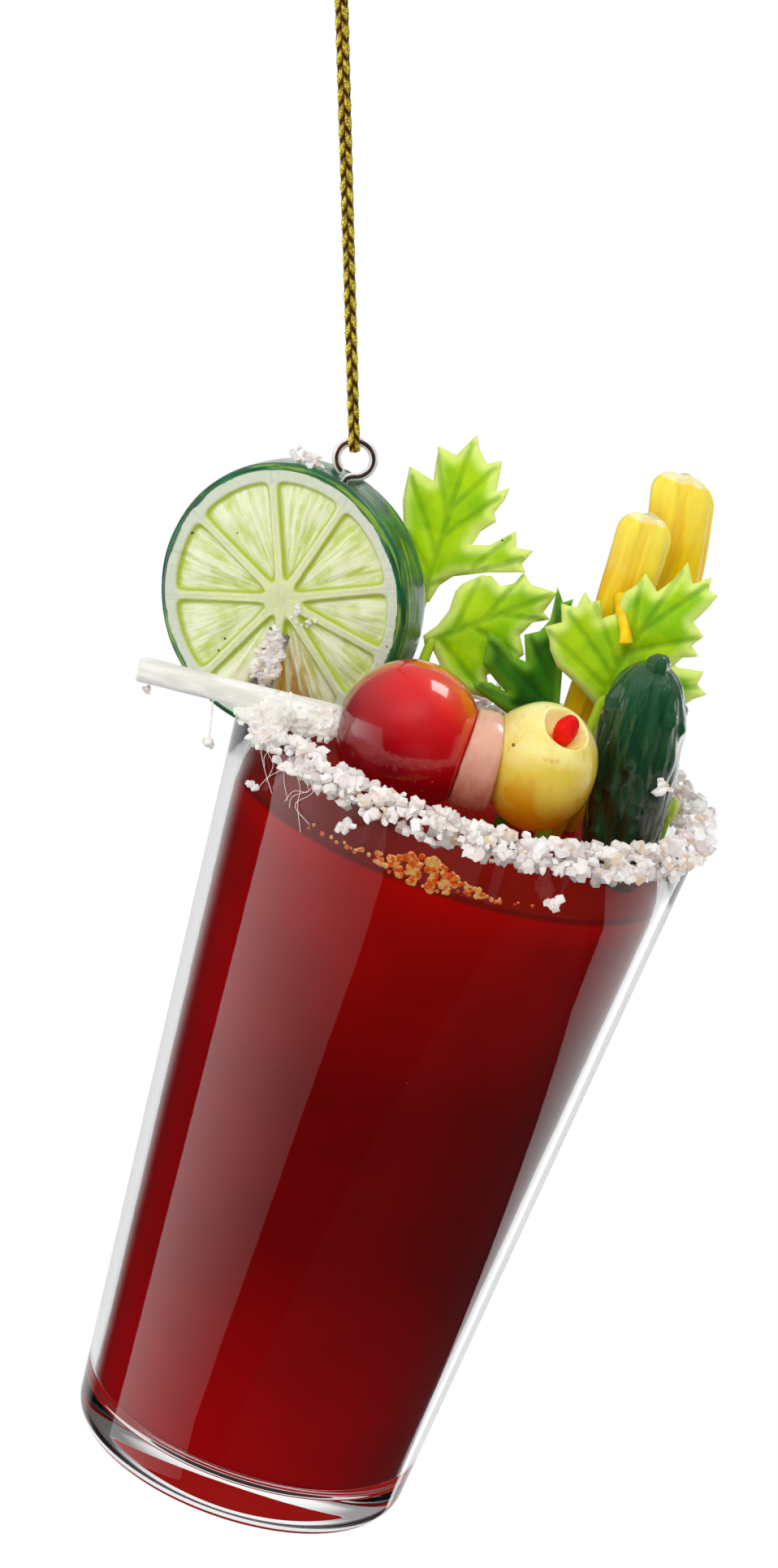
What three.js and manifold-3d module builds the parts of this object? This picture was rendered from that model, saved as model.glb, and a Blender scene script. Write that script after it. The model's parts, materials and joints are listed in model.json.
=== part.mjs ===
// Hanging cocktail glass ornament: a tumbler of red drink with its garnishes, hung by a screw
// eye in the lime slice from a knitted cord loop. Millimetres, +Z up, seen from -Y.
// The origin is the hang point, where a hook's wire lies inside the top of the loop.

import * as THREE from 'three';
import { mergeVertices } from 'three/addons/utils/BufferGeometryUtils.js';
import Module from 'manifold-3d';

const wasm = await Module();
wasm.setup();

// Fits
const clearance = 0.3; // gap left between neighbouring pieces
const plantDepth = 1.0; // how far a garnish foot is cast into the drink

// Glass, with its axis along z and the rim's centre at the glass frame's origin
const glassHeight = 86.8;
const rimRadius = 26.2;
const footRadius = 18.6; // where the straight side would meet the underside
const rimWall = 2.0;
const footWall = 1.7;
const baseThickness = 5.0;
const footCorner = 4.0;
const floorCorner = 3.0;
const glassSegments = 48;

// Drink
const drinkLevel = -7.2; // height of the surface, measured from the rim
const topPour = 12.0; // thickness of the last pour
const pourLip = 2.0;
const liningWall = 2.2;
const liningFloor = 2.2;
const drinkSegments = 40;

// How the glass hangs in the photo
const leanSide = 19.6; // degrees, foot to the left
const leanFront = 9.0; // degrees, rim towards the viewer
const cordDrop = 54.5; // from the hook down to the eye's top wire

// Lime slice
const limeRadius = 15.0;
const limeThickness = 6.0;
const limeEdge = 0.9; // rounding of the rind's two edges
const limeAzimuth = 156; // degrees around the rim, measured from the right
const limeUp = 8.55;
const limeSpokes = 9;
const firstSpoke = 114; // degrees, in the slice's own plane
const pithWidth = 2.1;
const membrane = 0.45; // half the width of a spoke
const segmentDepth = 0.5;
const slitWidth = 2.6;
const slitShift = 0.95; // the slit's middle to the lime's centre, outward from the glass axis
const slitTop = -3.6; // height of the slit's upper end from the lime's centre
const dimpleRadius = 1.75; // hole in the rind that the eye's ring sits in
const limeOut = rimRadius - rimWall / 2 + slitShift; // distance of its centre from the glass axis

// Screw eye
const eyeWire = 0.95;
const eyeRing = 2.03; // radius of the wire's centreline
const eyeAbove = 2.15; // ring centre above the rind
const eyeReach = limeRadius + eyeAbove; // ring centre to lime centre
const eyeLean = 6.5; // degrees, towards the glass axis
const eyeTwist = 22.8; // degrees, turns the ring to face the viewer
const shankLength = 9.0;
const ringStart = -70; // degrees, where the shank's bend becomes the ring
const ringEnd = 226;
const ringSteps = 16;

// Cord
const cordWidth = 1.3;
const cordThickness = 0.56;
const cordGap = 0.25; // between cord and wire
const cordSpread = 0.13; // sideways offset of each strand at the top
const knotRadius = 1.15;
const knotCord = 0.62;

// Gherkin
const gherkinIn = 6.05; // its axis at the foot, inwards from the bore's rim
const gherkinFoot = new THREE.Vector3(rimRadius - rimWall - gherkinIn, -4, drinkLevel - plantDepth);
const gherkinLength = 27.2;
const gherkinRadius = 4.55;
const nubRadius = 1.15;
const gherkinLean = -7.2; // degrees, towards the glass axis

// Cocktail stick and what is on it, measured along the stick from the tomato's centre
const tomatoIn = 26.25; // the tomato's centre, left of the gherkin's foot
const stickStart = new THREE.Vector3(gherkinFoot.x - tomatoIn, -10, 3.7);
const stickRise = 4.05; // degrees
const stickRadius = 1.38;
const stickBore = 0.88;
const stickBoreDepth = 5.0;
const stickOut = 14.6; // how far it sticks out past the rim on the left
const stickRight = 16.6;
const tomatoRadius = 7.85;
const tomatoHeight = 8.2; // half the height
const onionFrom = 5.6;
const onionTo = 10.0;
const onionRadius = 5.4;
const onionDrop = 0.7; // how far its centre lies below the stick's axis
const onionHole = 2.6;
const oliveAt = 14.35;
const oliveRadius = 6.15;
const oliveHeight = 6.7; // half the height
const oliveLift = 0.5; // how far its centre lies above the stick's axis
const recessRadius = 2.5;
const pimentoRadius = 1.35;

// Salt crust
const crustLead = 13.6; // degrees from the stick's crossing of the rim to where the crust starts
const crustSpan = 267;
const crustSteps = 54;
const crustAbove = 1.7; // its reach from the middle of the rim's wall, above, below, outwards and inwards
const crustBelow = 2.1;
const crustOut = 2.2;
const crustIn = 1.3;
const crustBump = 0.34;
const crustHeap = 0.55; // how much higher it is heaped on the right
const crustHeapTurn = 15;

// Where the stick crosses the middle of the rim's wall, on the left
const rimMiddle = rimRadius - rimWall / 2;
const crossingX = -Math.sqrt(rimMiddle ** 2 - stickStart.y ** 2);
const crossingAlong = crossingX - stickStart.x;
const stickLeft = crossingAlong - stickOut;

const degrees = Math.PI / 180;

// Returns a closed solid from a geometry, with its faces turned outward.
function solidOf(geometry) {
  const bare = geometry.clone();
  bare.deleteAttribute('normal');
  bare.deleteAttribute('uv');
  const merged = mergeVertices(bare, 1e-4);
  const index = merged.index.array;
  const spot = merged.attributes.position;
  const corners = [new THREE.Vector3(), new THREE.Vector3(), new THREE.Vector3()];
  const kept = [];
  let volume = 0;
  for (let i = 0; i < index.length; i += 3) {
    const face = [index[i], index[i + 1], index[i + 2]];
    if (face[0] === face[1] || face[1] === face[2] || face[2] === face[0]) continue;
    face.forEach((vertex, side) => corners[side].fromBufferAttribute(spot, vertex));
    volume += corners[0].dot(corners[1].clone().cross(corners[2]));
    kept.push(face);
  }
  const outward = volume > 0 ? kept : kept.map((face) => [face[0], face[2], face[1]]);
  const mesh = new wasm.Mesh({
    numProp: 3,
    vertProperties: Float32Array.from(spot.array),
    triVerts: Uint32Array.from(outward.flat()),
  });
  return new wasm.Manifold(mesh);
}

function geometryOf(solid) {
  const mesh = solid.getMesh();
  const geometry = new THREE.BufferGeometry();
  geometry.setAttribute('position', new THREE.BufferAttribute(Float32Array.from(mesh.vertProperties), 3));
  geometry.setIndex(Array.from(mesh.triVerts));
  geometry.computeVertexNormals();
  return geometry;
}

function union(solids) {
  return solids.reduce((sum, solid) => sum.add(solid));
}

function moved(solid, matrix) {
  return solid.transform(matrix.elements);
}

// Turns a profile of [radius, height] points around the z axis.
function turned(profile, segments) {
  const points = profile.map(([radius, height]) => new THREE.Vector2(radius, height));
  const geometry = new THREE.LatheGeometry(points, segments);
  geometry.rotateX(90 * degrees);
  return solidOf(geometry);
}

function cylinder(radius, low, high, segments = 24) {
  return turned([[0, low], [radius, low], [radius, high], [0, high]], segments);
}

function ellipsoid(centre, radii, across = 20, down = 14) {
  const geometry = new THREE.SphereGeometry(1, across, down);
  geometry.rotateX(90 * degrees);
  geometry.scale(...radii);
  geometry.translate(...centre);
  return solidOf(geometry);
}

function block(centre, sizes) {
  const geometry = new THREE.BoxGeometry(...sizes);
  geometry.translate(...centre);
  return solidOf(geometry);
}

// A smooth path cut into the same number of steps between each two of its points.
class PointPath extends THREE.CatmullRomCurve3 {
  getPointAt(along, target) {
    return this.getPoint(along, target);
  }

  getTangentAt(along, target) {
    return this.getTangent(along, target);
  }
}

// Sweeps an oval section along a smooth path, with a few steps from each point to the next.
function swept(points, halfWidth, halfThickness, stepsEach, sides) {
  const section = new THREE.Shape();
  for (let side = 0; side < sides; side += 1) {
    const turn = (2 * Math.PI * side) / sides;
    const x = halfWidth * Math.cos(turn);
    const y = halfThickness * Math.sin(turn);
    if (side === 0) section.moveTo(x, y);
    else section.lineTo(x, y);
  }
  section.closePath();
  const path = new PointPath(points.map((point) => new THREE.Vector3(...point)));
  const steps = stepsEach * (points.length - 1);
  return solidOf(new THREE.ExtrudeGeometry(section, { steps, extrudePath: path }));
}

function shapeOf(points) {
  return new THREE.Shape(points.map(([x, y]) => new THREE.Vector2(x, y)));
}

// Gives a repeatable value from -1 to 1 for a place on a rough surface.
function rough(a, b, c) {
  const wave = Math.sin(a * 12.9898 + b * 78.233 + c * 37.719) * 43758.5453;
  return 2 * (wave - Math.floor(wave)) - 1;
}

function shifted(geometry, change) {
  const spot = geometry.attributes.position;
  const point = new THREE.Vector3();
  for (let i = 0; i < spot.count; i += 1) {
    point.fromBufferAttribute(spot, i);
    change(point);
    spot.setXYZ(i, point.x, point.y, point.z);
  }
  return geometry;
}

// Frames, all given inside the glass frame
function frameAt(position, turn) {
  const frame = new THREE.Group();
  frame.position.copy(position);
  frame.rotation.set(...turn);
  frame.updateMatrix();
  return frame;
}

const limeTurn = (limeAzimuth - 180) * degrees;
const limeCentre = new THREE.Vector3(
  limeOut * Math.cos(limeAzimuth * degrees),
  limeOut * Math.sin(limeAzimuth * degrees),
  limeUp,
);
const limeFrame = frameAt(limeCentre, [0, 0, limeTurn]);
const stickFrame = frameAt(stickStart, [0, -stickRise * degrees, 0]);
const gherkinFrame = frameAt(gherkinFoot, [0, gherkinLean * degrees, 0]);
const eyeInLime = frameAt(
  new THREE.Vector3(eyeReach * Math.sin(eyeLean * degrees), 0, eyeReach * Math.cos(eyeLean * degrees)),
  [0, eyeLean * degrees, eyeTwist * degrees],
);

const intoLime = limeFrame.matrix.clone().invert();

// The top and middle leaves stand to the right of the rind's edge nearest the glass axis.
const limeSide = new THREE.Vector3(limeRadius, 0, 0).applyMatrix4(limeFrame.matrix).x;

// Glass tumbler
function sideRadius(height, foot, rim) {
  return rim + ((foot - rim) * -height) / glassHeight;
}

function arcPoints(centre, radius, from, to, steps) {
  const points = [];
  for (let step = 0; step <= steps; step += 1) {
    const turn = (from + ((to - from) * step) / steps) * degrees;
    points.push([centre[0] + radius * Math.cos(turn), centre[1] + radius * Math.sin(turn)]);
  }
  return points;
}

const cornerHeight = -glassHeight + footCorner;
const cornerRadius = sideRadius(cornerHeight, footRadius, rimRadius);
const floorHeight = -glassHeight + baseThickness;
const boreFoot = footRadius - footWall;
const boreRim = rimRadius - rimWall;
const floorRadius = sideRadius(floorHeight + floorCorner, boreFoot, boreRim);
const rimBend = rimWall / 2;

const glassProfile = [
  [0, -glassHeight],
  ...arcPoints([cornerRadius - footCorner, cornerHeight], footCorner, -90, 0, 5),
  ...arcPoints([rimRadius - rimBend, -rimBend], rimBend, 0, 180, 6),
  ...arcPoints([floorRadius - floorCorner, floorHeight + floorCorner], floorCorner, 0, -90, 4),
  [0, floorHeight],
];
const glass = turned(glassProfile, glassSegments);

// The upper part of the wall, grown by the clearance, cuts whatever sits on the rim.
const rimCutLow = -22;
const rimCutter = turned([
  [sideRadius(rimCutLow, boreFoot, boreRim) - clearance, rimCutLow],
  [sideRadius(rimCutLow, footRadius, rimRadius) + clearance, rimCutLow],
  [rimRadius + clearance, -rimBend],
  [rimRadius - rimBend / 2, clearance],
  [boreRim + rimBend / 2, clearance],
  [boreRim - clearance, -rimBend],
  [sideRadius(rimCutLow, boreFoot, boreRim) - clearance, rimCutLow],
], glassSegments);

// Planted feet, given as a function of how much they are grown
function gherkin(grow) {
  const full = gherkinRadius + grow;
  const shares = [
    [0.74, 0.074], [0.86, 0.221], [0.95, 0.368], [1, 0.515], [0.99, 0.662], [0.93, 0.79], [0.76, 0.893],
    [0.46, 0.952], [0, 0.971],
  ];
  const points = [
    new THREE.Vector2(0, -grow),
    new THREE.Vector2(full * 0.62, -grow),
    ...shares.map(([wide, high]) => new THREE.Vector2(full * wide, gherkinLength * high)),
  ];
  const body = new THREE.LatheGeometry(points, 18);
  body.rotateX(90 * degrees);
  shifted(body, (point) => {
    const turn = Math.atan2(point.y, point.x);
    const lump = 1 + 0.045 * Math.sin(5 * turn + 0.5 * point.z) * Math.sin(0.62 * point.z);
    point.x *= lump;
    point.y *= lump;
  });
  const nub = ellipsoid([0.3, -0.5, gherkinLength - nubRadius], [nubRadius, nubRadius, nubRadius], 10, 8);
  const solid = grow > 0 ? solidOf(body) : solidOf(body).add(nub);
  return moved(solid, gherkinFrame.matrix);
}

// A celery stalk is a flattened crescent that bends a little on its way down into the drink.
function stalk(size, grow) {
  const section = new THREE.Shape();
  const outer = 11;
  for (let side = 0; side <= outer; side += 1) {
    const turn = (-62 + (304 * side) / outer) * degrees;
    const x = (size.halfWidth + grow) * Math.cos(turn);
    const y = (size.halfDepth + grow) * Math.sin(turn);
    if (side === 0) section.moveTo(x, y);
    else section.lineTo(x, y);
  }
  if (grow === 0) {
    section.lineTo(-size.groove, -size.halfDepth * 0.55);
    section.lineTo(-size.groove * 0.6, size.halfDepth * 0.1);
    section.lineTo(size.groove * 0.6, size.halfDepth * 0.1);
    section.lineTo(size.groove, -size.halfDepth * 0.55);
  }
  section.closePath();
  const low = drinkLevel - plantDepth - grow;
  const geometry = new THREE.ExtrudeGeometry(section, {
    depth: size.top - low,
    steps: 8,
    bevelEnabled: false,
  });
  geometry.translate(0, 0, low);
  const route = new THREE.CatmullRomCurve3(size.route.map((point) => new THREE.Vector3(...point)));
  const foot = size.route[0][2];
  const span = size.top - foot;
  shifted(geometry, (point) => {
    const along = THREE.MathUtils.clamp((point.z - foot) / span, 0, 1);
    const centre = route.getPoint(along);
    const taper = 1 - size.taper * (1 - along);
    point.x = centre.x + point.x * taper;
    point.y = centre.y + point.y * taper;
  });
  return solidOf(geometry);
}

const tallStalk = {
  halfWidth: 3.35,
  halfDepth: 2.1,
  groove: 0.9,
  top: 34.6,
  taper: 0.22,
  route: [[11.0, 10.6, -8.2], [12.2, 10.8, 2], [14.1, 11, 13], [14.4, 11, 24], [12.5, 11, 34.6]],
};
const shortStalk = {
  halfWidth: 2.85,
  halfDepth: 1.7,
  groove: 0.8,
  top: 30.2,
  taper: 0.2,
  route: [[9.8, 6.7, -8.2], [10.3, 6.8, 1], [10.5, 7, 11], [10.2, 7, 21], [9.9, 7, 30.2]],
};

// A leaf is a thin sheet from its outline, creased along the midrib and curled, on a round stem.
const leafThickness = 0.8;
const bitAt = rimRadius - rimWall - 2.1; // the small leaf stands by the glass

const leafShapes = {
  leaf_top: {
    base: [limeSide - 0.11, 10.5, 12.9],
    yaw: -20,
    tilt: 8,
    roll: 5.0,
    crease: 0.04,
    curl: -0.006,
    creaseCuts: [6, 12],
    stemRadius: 0.75,
    stem: [
      [limeSide - 0.11, 10.55, 13.7],
      [limeSide + 0.09, 10.2, 7],
      [limeSide + 0.99, 9.6, 0],
      [limeSide + 1.99, 8.9, -8.2],
    ],
    outline: [
      [-0.2, -0.6], [-1.1, 0.7], [-2.5, 2.4], [-4.0, 4.4], [-4.3, 6.2], [-5.4, 9.4], [-5.9, 13.1],
      [-4.1, 12.7], [-2.8, 12.4], [-3.6, 16.1], [-1.3, 15.8], [0.0, 18.5], [0.8, 17.2], [2.2, 15.9],
      [3.7, 16.7], [4.3, 13.3], [5.6, 14.2], [5.5, 12.8], [4.9, 11.2], [5.4, 10.3], [4.0, 8.8],
      [3.5, 7.1], [5.6, 7.7], [7.9, 10.0], [8.5, 8.3], [10.4, 8.6], [9.6, 6.8], [10.3, 6.1],
      [6.2, 4.8], [2.5, 3.2], [1.3, 1.8], [0.7, -0.3],
    ],
  },
  leaf_mid: {
    base: [limeSide + 1.69, 6.6, 9.4],
    yaw: -6,
    tilt: 14,
    roll: -49.2,
    crease: -0.08,
    curl: -0.002,
    creaseCuts: [5, 10],
    stemRadius: 0.75,
    stem: [
      [limeSide + 2.09, 6.7, 10.1],
      [limeSide + 1.99, 6.0, 6],
      [limeSide + 2.79, 5.4, 0],
      [limeSide + 3.59, 5.0, -8.2],
    ],
    outline: [
      [-0.8, -0.2], [-1.3, 1.7], [-2.3, 3.4], [-4.0, 4.8], [-4.5, 5.8], [-4.6, 8.1], [-4.1, 9.1],
      [-2.7, 9.6], [-2.5, 11.1], [-3.2, 12.5], [-1.7, 12.7], [0.2, 15.1], [1.6, 12.9], [2.6, 13.3],
      [2.2, 11.4], [3.0, 9.6], [5.1, 9.3], [5.8, 6.9], [5.7, 4.7], [8.1, 3.8], [6.4, 1.6],
      [3.7, 0.4], [0.8, 0.2], [0.1, -0.4],
    ],
  },
  leaf_dark: {
    base: [5.0, 4.5, 3.4],
    yaw: 4,
    tilt: 8,
    roll: 21.1,
    crease: 0.06,
    curl: 0.002,
    creaseCuts: [5, 10],
    stemRadius: 0.8,
    stem: [[6.2, 4.9, 7.2], [6.0, 4.6, 3], [5.6, 4.4, -3], [5.3, 4.3, -8.2]],
    outline: [
      [1.8, 0.2], [0.7, 1.9], [-2.2, 2.7], [-5.4, 5.6], [-5.6, 6.4], [-3.6, 6.1], [-2.0, 4.9],
      [-3.1, 6.3], [-4.4, 8.3], [-3.9, 10.2], [-3.6, 11.8], [-2.1, 10.7], [-1.0, 8.8], [0.3, 8.1],
      [0.3, 11.1], [2.0, 11.4], [3.2, 12.6], [4.2, 16.1], [4.7, 14.4], [5.8, 14.7], [5.0, 12.5],
      [4.6, 10.4], [4.3, 7.7], [3.7, 3.3], [3.2, 1.0],
    ],
  },
  leaf_right: {
    base: [11.1, 2.0, 9.9],
    yaw: -8,
    tilt: 5,
    roll: -3.2,
    crease: 0.05,
    curl: -0.002,
    creaseCuts: [5, 11],
    stemRadius: 0.8,
    stem: [[11.2, 2.05, 11.2], [11.0, 1.7, 6], [10.2, 1.4, -1], [9.6, 1.2, -8.2]],
    outline: [
      [-0.3, -0.3], [-2.0, 0.6], [-3.9, 1.4], [-5.8, 2.1], [-7.2, 3.5], [-7.7, 4.5], [-8.7, 5.6],
      [-7.2, 6.8], [-8.0, 8.6], [-6.3, 8.9], [-6.2, 10.8], [-5.1, 10.0], [-4.3, 10.6], [-3.4, 8.8],
      [-2.3, 9.8], [-2.2, 12.4], [-1.3, 13.7], [-0.9, 15.2], [1.0, 13.8], [2.0, 15.5], [2.8, 18.1],
      [4.2, 16.1], [5.8, 17.6], [6.1, 16.2], [7.2, 16.0], [6.7, 14.3], [5.9, 12.4], [7.5, 11.4],
      [6.7, 10.0], [7.8, 9.2], [6.3, 8.4], [5.7, 7.0], [9.0, 7.9], [8.9, 6.3], [10.2, 5.7],
      [9.1, 4.7], [8.5, 3.8], [9.4, 2.1], [8.3, 2.8], [6.2, 3.2], [3.8, 2.8], [1.5, 0.8],
    ],
  },
  leaf_bit: {
    base: [bitAt, 0, 0.3],
    yaw: 10,
    tilt: 10,
    roll: -7.4,
    crease: 0.1,
    curl: 0,
    creaseCuts: [],
    stemRadius: 0.4,
    stem: [[bitAt, 0, 1.0], [bitAt - 0.1, 0, -3], [bitAt - 0.4, 0, -8.2]],
    outline: [
      [-0.4, 0.0], [-1.0, 1.1], [-0.7, 1.8], [-0.4, 2.9], [0.5, 2.2], [0.7, 1.1], [0.4, -0.1],
    ],
  },
};

function leafStem(leaf, grow) {
  const radius = leaf.stemRadius + grow;
  const foot = leaf.stem[leaf.stem.length - 1];
  const route = [...leaf.stem.slice(0, -1), [foot[0], foot[1], drinkLevel - plantDepth - grow]];
  return swept(route, radius, radius, 3, 7);
}

function leafBlade(leaf) {
  const sheet = solidOf(new THREE.ExtrudeGeometry(shapeOf(leaf.outline), {
    depth: leafThickness,
    steps: 1,
    bevelEnabled: false,
  })).translate([0, 0, -leafThickness / 2]);
  let strips = [sheet];
  leaf.creaseCuts.forEach((cut) => {
    strips = strips.flatMap((strip) => [
      strip.trimByPlane([0, 1, 0], cut),
      strip.trimByPlane([0, -1, 0], -cut),
    ]);
  });
  const halves = strips.flatMap((strip) => [
    strip.trimByPlane([1, 0, 0], 0),
    strip.trimByPlane([-1, 0, 0], 0),
  ]);
  const bent = halves.filter((half) => half.volume() > 1e-6).map((half) => {
    const geometry = geometryOf(half);
    return solidOf(shifted(geometry, (point) => {
      point.z += leaf.crease * Math.abs(point.x) + leaf.curl * point.y * point.y;
    }));
  });
  const place = new THREE.Matrix4()
    .makeTranslation(...leaf.base)
    .multiply(new THREE.Matrix4().makeRotationZ(leaf.yaw * degrees))
    .multiply(new THREE.Matrix4().makeRotationX((90 - leaf.tilt) * degrees))
    .multiply(new THREE.Matrix4().makeRotationZ(leaf.roll * degrees));
  return moved(union(bent), place);
}

// Drink: the lining stands on the glass's floor, and the last pour closes it and holds the feet.
const liningTop = drinkLevel - pourLip - clearance;
const liningFoot = floorHeight + clearance;

function boreAt(height) {
  return sideRadius(height, boreFoot, boreRim) - clearance;
}

const liningBend = floorCorner - clearance;
const lining = turned([
  [0, liningFoot],
  ...arcPoints([boreAt(liningFoot + liningBend) - liningBend, liningFoot + liningBend],
    liningBend, -90, 0, 3),
  [boreAt(liningTop), liningTop],
  [boreAt(liningTop) - liningWall, liningTop],
  [boreAt(liningFoot + liningFloor) - liningWall, liningFoot + liningFloor],
  [0, liningFoot + liningFloor],
], drinkSegments);

const plugLow = drinkLevel - topPour;
let drinkTop = turned([
  [0, plugLow],
  [boreAt(plugLow) - liningWall - clearance, plugLow],
  [boreAt(liningTop) - liningWall - clearance, drinkLevel - pourLip],
  [boreAt(drinkLevel - pourLip), drinkLevel - pourLip],
  [boreAt(drinkLevel), drinkLevel],
  [0, drinkLevel],
], drinkSegments);
const sockets = [
  gherkin(clearance),
  stalk(tallStalk, clearance),
  stalk(shortStalk, clearance),
  ...Object.values(leafShapes).map((leaf) => leafStem(leaf, clearance)),
];
sockets.forEach((socket) => {
  drinkTop = drinkTop.subtract(socket);
});

// Lime slice, in its own frame: x towards the glass axis, y away from the viewer
function limeSlice() {
  const half = limeThickness / 2;
  const disc = turned([
    [0, -half],
    [limeRadius - limeEdge, -half],
    [limeRadius - limeEdge * 0.3, -half + limeEdge * 0.3],
    [limeRadius, -half + limeEdge],
    [limeRadius, half - limeEdge],
    [limeRadius - limeEdge * 0.3, half - limeEdge * 0.3],
    [limeRadius - limeEdge, half],
    [0, half],
  ], 48);
  const fleshRadius = limeRadius - pithWidth;
  const halfTurn = 180 / limeSpokes;
  const apex = membrane / Math.sin(halfTurn * degrees) + 0.9;
  const sweep = halfTurn - Math.asin(membrane / fleshRadius) / degrees;
  const wedge = shapeOf([
    [apex, 0],
    [fleshRadius * 0.9 * Math.cos(sweep * degrees), -fleshRadius * 0.9 * Math.sin(sweep * degrees)],
    ...arcPoints([0, 0], fleshRadius, -sweep * 0.8, sweep * 0.8, 3),
    [fleshRadius * 0.9 * Math.cos(sweep * degrees), fleshRadius * 0.9 * Math.sin(sweep * degrees)],
  ]);
  const recess = new THREE.ExtrudeGeometry(wedge, { depth: 2 * segmentDepth, bevelEnabled: false });
  let slice = disc;
  for (let spoke = 0; spoke < limeSpokes; spoke += 1) {
    const middle = firstSpoke - halfTurn - (360 / limeSpokes) * spoke;
    [-half, half].forEach((face) => {
      const cut = recess.clone();
      cut.translate(0, 0, face - segmentDepth);
      cut.rotateZ(middle * degrees);
      slice = slice.subtract(solidOf(cut));
    });
  }
  // The disc was made with its axis along z, and z turns towards the viewer.
  slice = moved(slice, new THREE.Matrix4().makeRotationX(90 * degrees));
  const slitLow = -limeRadius - 1;
  const slit = block(
    [slitShift, 0, (slitTop + slitLow) / 2],
    [slitWidth, limeThickness + 2, slitTop - slitLow],
  );
  const wireBore = moved(
    cylinder(eyeWire / 2 + clearance, -(shankLength + eyeRing + clearance), 0, 12),
    eyeInLime.matrix,
  );
  const dimple = moved(
    cylinder(dimpleRadius, -(eyeRing + eyeWire / 2 + clearance), 1, 14),
    eyeInLime.matrix,
  );
  return slice.subtract(slit).subtract(moved(rimCutter, intoLime)).subtract(wireBore).subtract(dimple);
}

// Screw eye, in its own frame: the ring's centre at the origin, the shank down z
function screwEye() {
  const path = [
    [0, 0, -eyeRing - shankLength],
    [0, 0, -eyeRing - shankLength / 2],
    [0, 0, -eyeRing - 0.9],
    [0.25, 0, -eyeRing - 0.2],
  ];
  arcPoints([0, 0], eyeRing, ringStart, ringEnd, ringSteps).forEach(([x, z]) => path.push([x, 0, z]));
  return swept(path, eyeWire / 2, eyeWire / 2, 2, 8);
}

// Cord, in the hanging frame
const eyeTop = [0, 0, -cordDrop];
const strandGap = eyeWire / 2 + cordGap + cordThickness / 2;
const strandTop = -0.25;

function strand(side) {
  const bend = [];
  arcPoints([0, 0], strandGap, 0, -78, 3).forEach(([out, up]) => {
    bend.push([0, side * out, -cordDrop + up]);
  });
  bend.push([0, side * clearance / 2, -cordDrop - strandGap]);
  const path = [
    [side * cordSpread, side * strandGap, strandTop],
    [side * cordSpread * 0.7, side * strandGap, -cordDrop * 0.3],
    [side * cordSpread * 0.3, side * strandGap, -cordDrop * 0.7],
    [0, side * strandGap, -cordDrop + 2],
    ...bend,
  ];
  return swept(path, cordThickness / 2, cordWidth / 2, 4, 8);
}

function knot() {
  const ring = new THREE.TorusGeometry(knotRadius, knotCord, 7, 12);
  const turns = [[0, 0, 0], [62, 0, 30], [-62, 0, -25]];
  const wraps = turns.map((turn) => {
    const wrap = ring.clone();
    wrap.rotateX(turn[0] * degrees);
    wrap.rotateZ(turn[2] * degrees);
    return solidOf(wrap);
  });
  const core = ellipsoid([0, 0, 0], [1.2, 1.2, 1.5], 10, 6);
  const tails = [-1, 1].map((side) => swept([
    [0, 0, 0.6],
    [side * 0.8, 0.1, 2.2],
    [side * 1.5, -0.1, 4.2],
    [side * 1.9, 0.2, 6.4],
  ], knotCord * 0.9, knotCord * 0.6, 2, 6));
  const whole = union([...wraps, core, ...tails]);
  const low = whole.boundingBox().min[2];
  return whole.translate([0, 0, -low + 0.1]);
}

// Stick and its pieces, in the stick's frame: x along the stick
const alongX = new THREE.Matrix4().makeRotationY(90 * degrees);

function rod(radius, low, high, segments = 14) {
  return moved(cylinder(radius, low, high, segments), alongX);
}

const stick = moved(turned([
  [stickBore, stickLeft],
  [stickRadius, stickLeft],
  [stickRadius, stickRight],
  [0, stickRight],
  [0, stickLeft + stickBoreDepth],
  [stickBore, stickLeft + stickBoreDepth],
  [stickBore, stickLeft],
], 14), alongX);
const stickHole = rod(stickRadius + clearance, stickLeft - 1, stickRight + clearance);

function tomatoBall(grow) {
  const wide = tomatoRadius + grow;
  return ellipsoid([0, 0, 0], [wide, wide, tomatoHeight + grow], 24, 16);
}

function oliveBall(grow) {
  const wide = oliveRadius + grow;
  return ellipsoid([oliveAt, 0, oliveLift], [wide, wide, oliveHeight + grow], 20, 14);
}

const tomato = tomatoBall(0).subtract(stickHole);
const onion = rod(onionRadius, onionFrom, onionTo, 28)
  .translate([0, 0, -onionDrop])
  .subtract(rod(onionHole, onionFrom - 1, onionTo + 1))
  .subtract(tomatoBall(clearance))
  .subtract(oliveBall(clearance));
// The recess opens upward and a little towards the viewer.
const recessAim = new THREE.Vector3(0.26, -0.36, 0.9).normalize();
const oliveCentre = new THREE.Vector3(oliveAt, 0, oliveLift);
const recessAt = (reach) => recessAim.clone().multiplyScalar(reach).add(oliveCentre).toArray();
const olive = oliveBall(0)
  .subtract(stickHole)
  .subtract(ellipsoid(recessAt(7.3), [recessRadius, recessRadius, recessRadius], 14, 10));
const pimento = ellipsoid(recessAt(6.5), [pimentoRadius * 0.85, pimentoRadius * 0.85, pimentoRadius], 12, 9);

// Rough lumps of salt, each a few faceted grains grown together
function grain(centre, radius, seed) {
  const geometry = new THREE.IcosahedronGeometry(radius, 0);
  shifted(geometry, (point) => {
    const key = point.clone().multiplyScalar(10).round();
    point.multiplyScalar(1 + 0.22 * rough(key.x + seed, key.y, key.z));
  });
  geometry.translate(...centre);
  return solidOf(geometry);
}

function lump(centre, radius, grains, seed) {
  const parts = [grain(centre, radius, seed)];
  for (let i = 1; i < grains; i += 1) {
    const away = [0, 1, 2].map((axis) => centre[axis] + radius * 0.8 * rough(seed, i, axis));
    parts.push(grain(away, radius * (0.62 + 0.2 * rough(i, seed, 3)), seed + i));
  }
  return union(parts);
}

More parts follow.
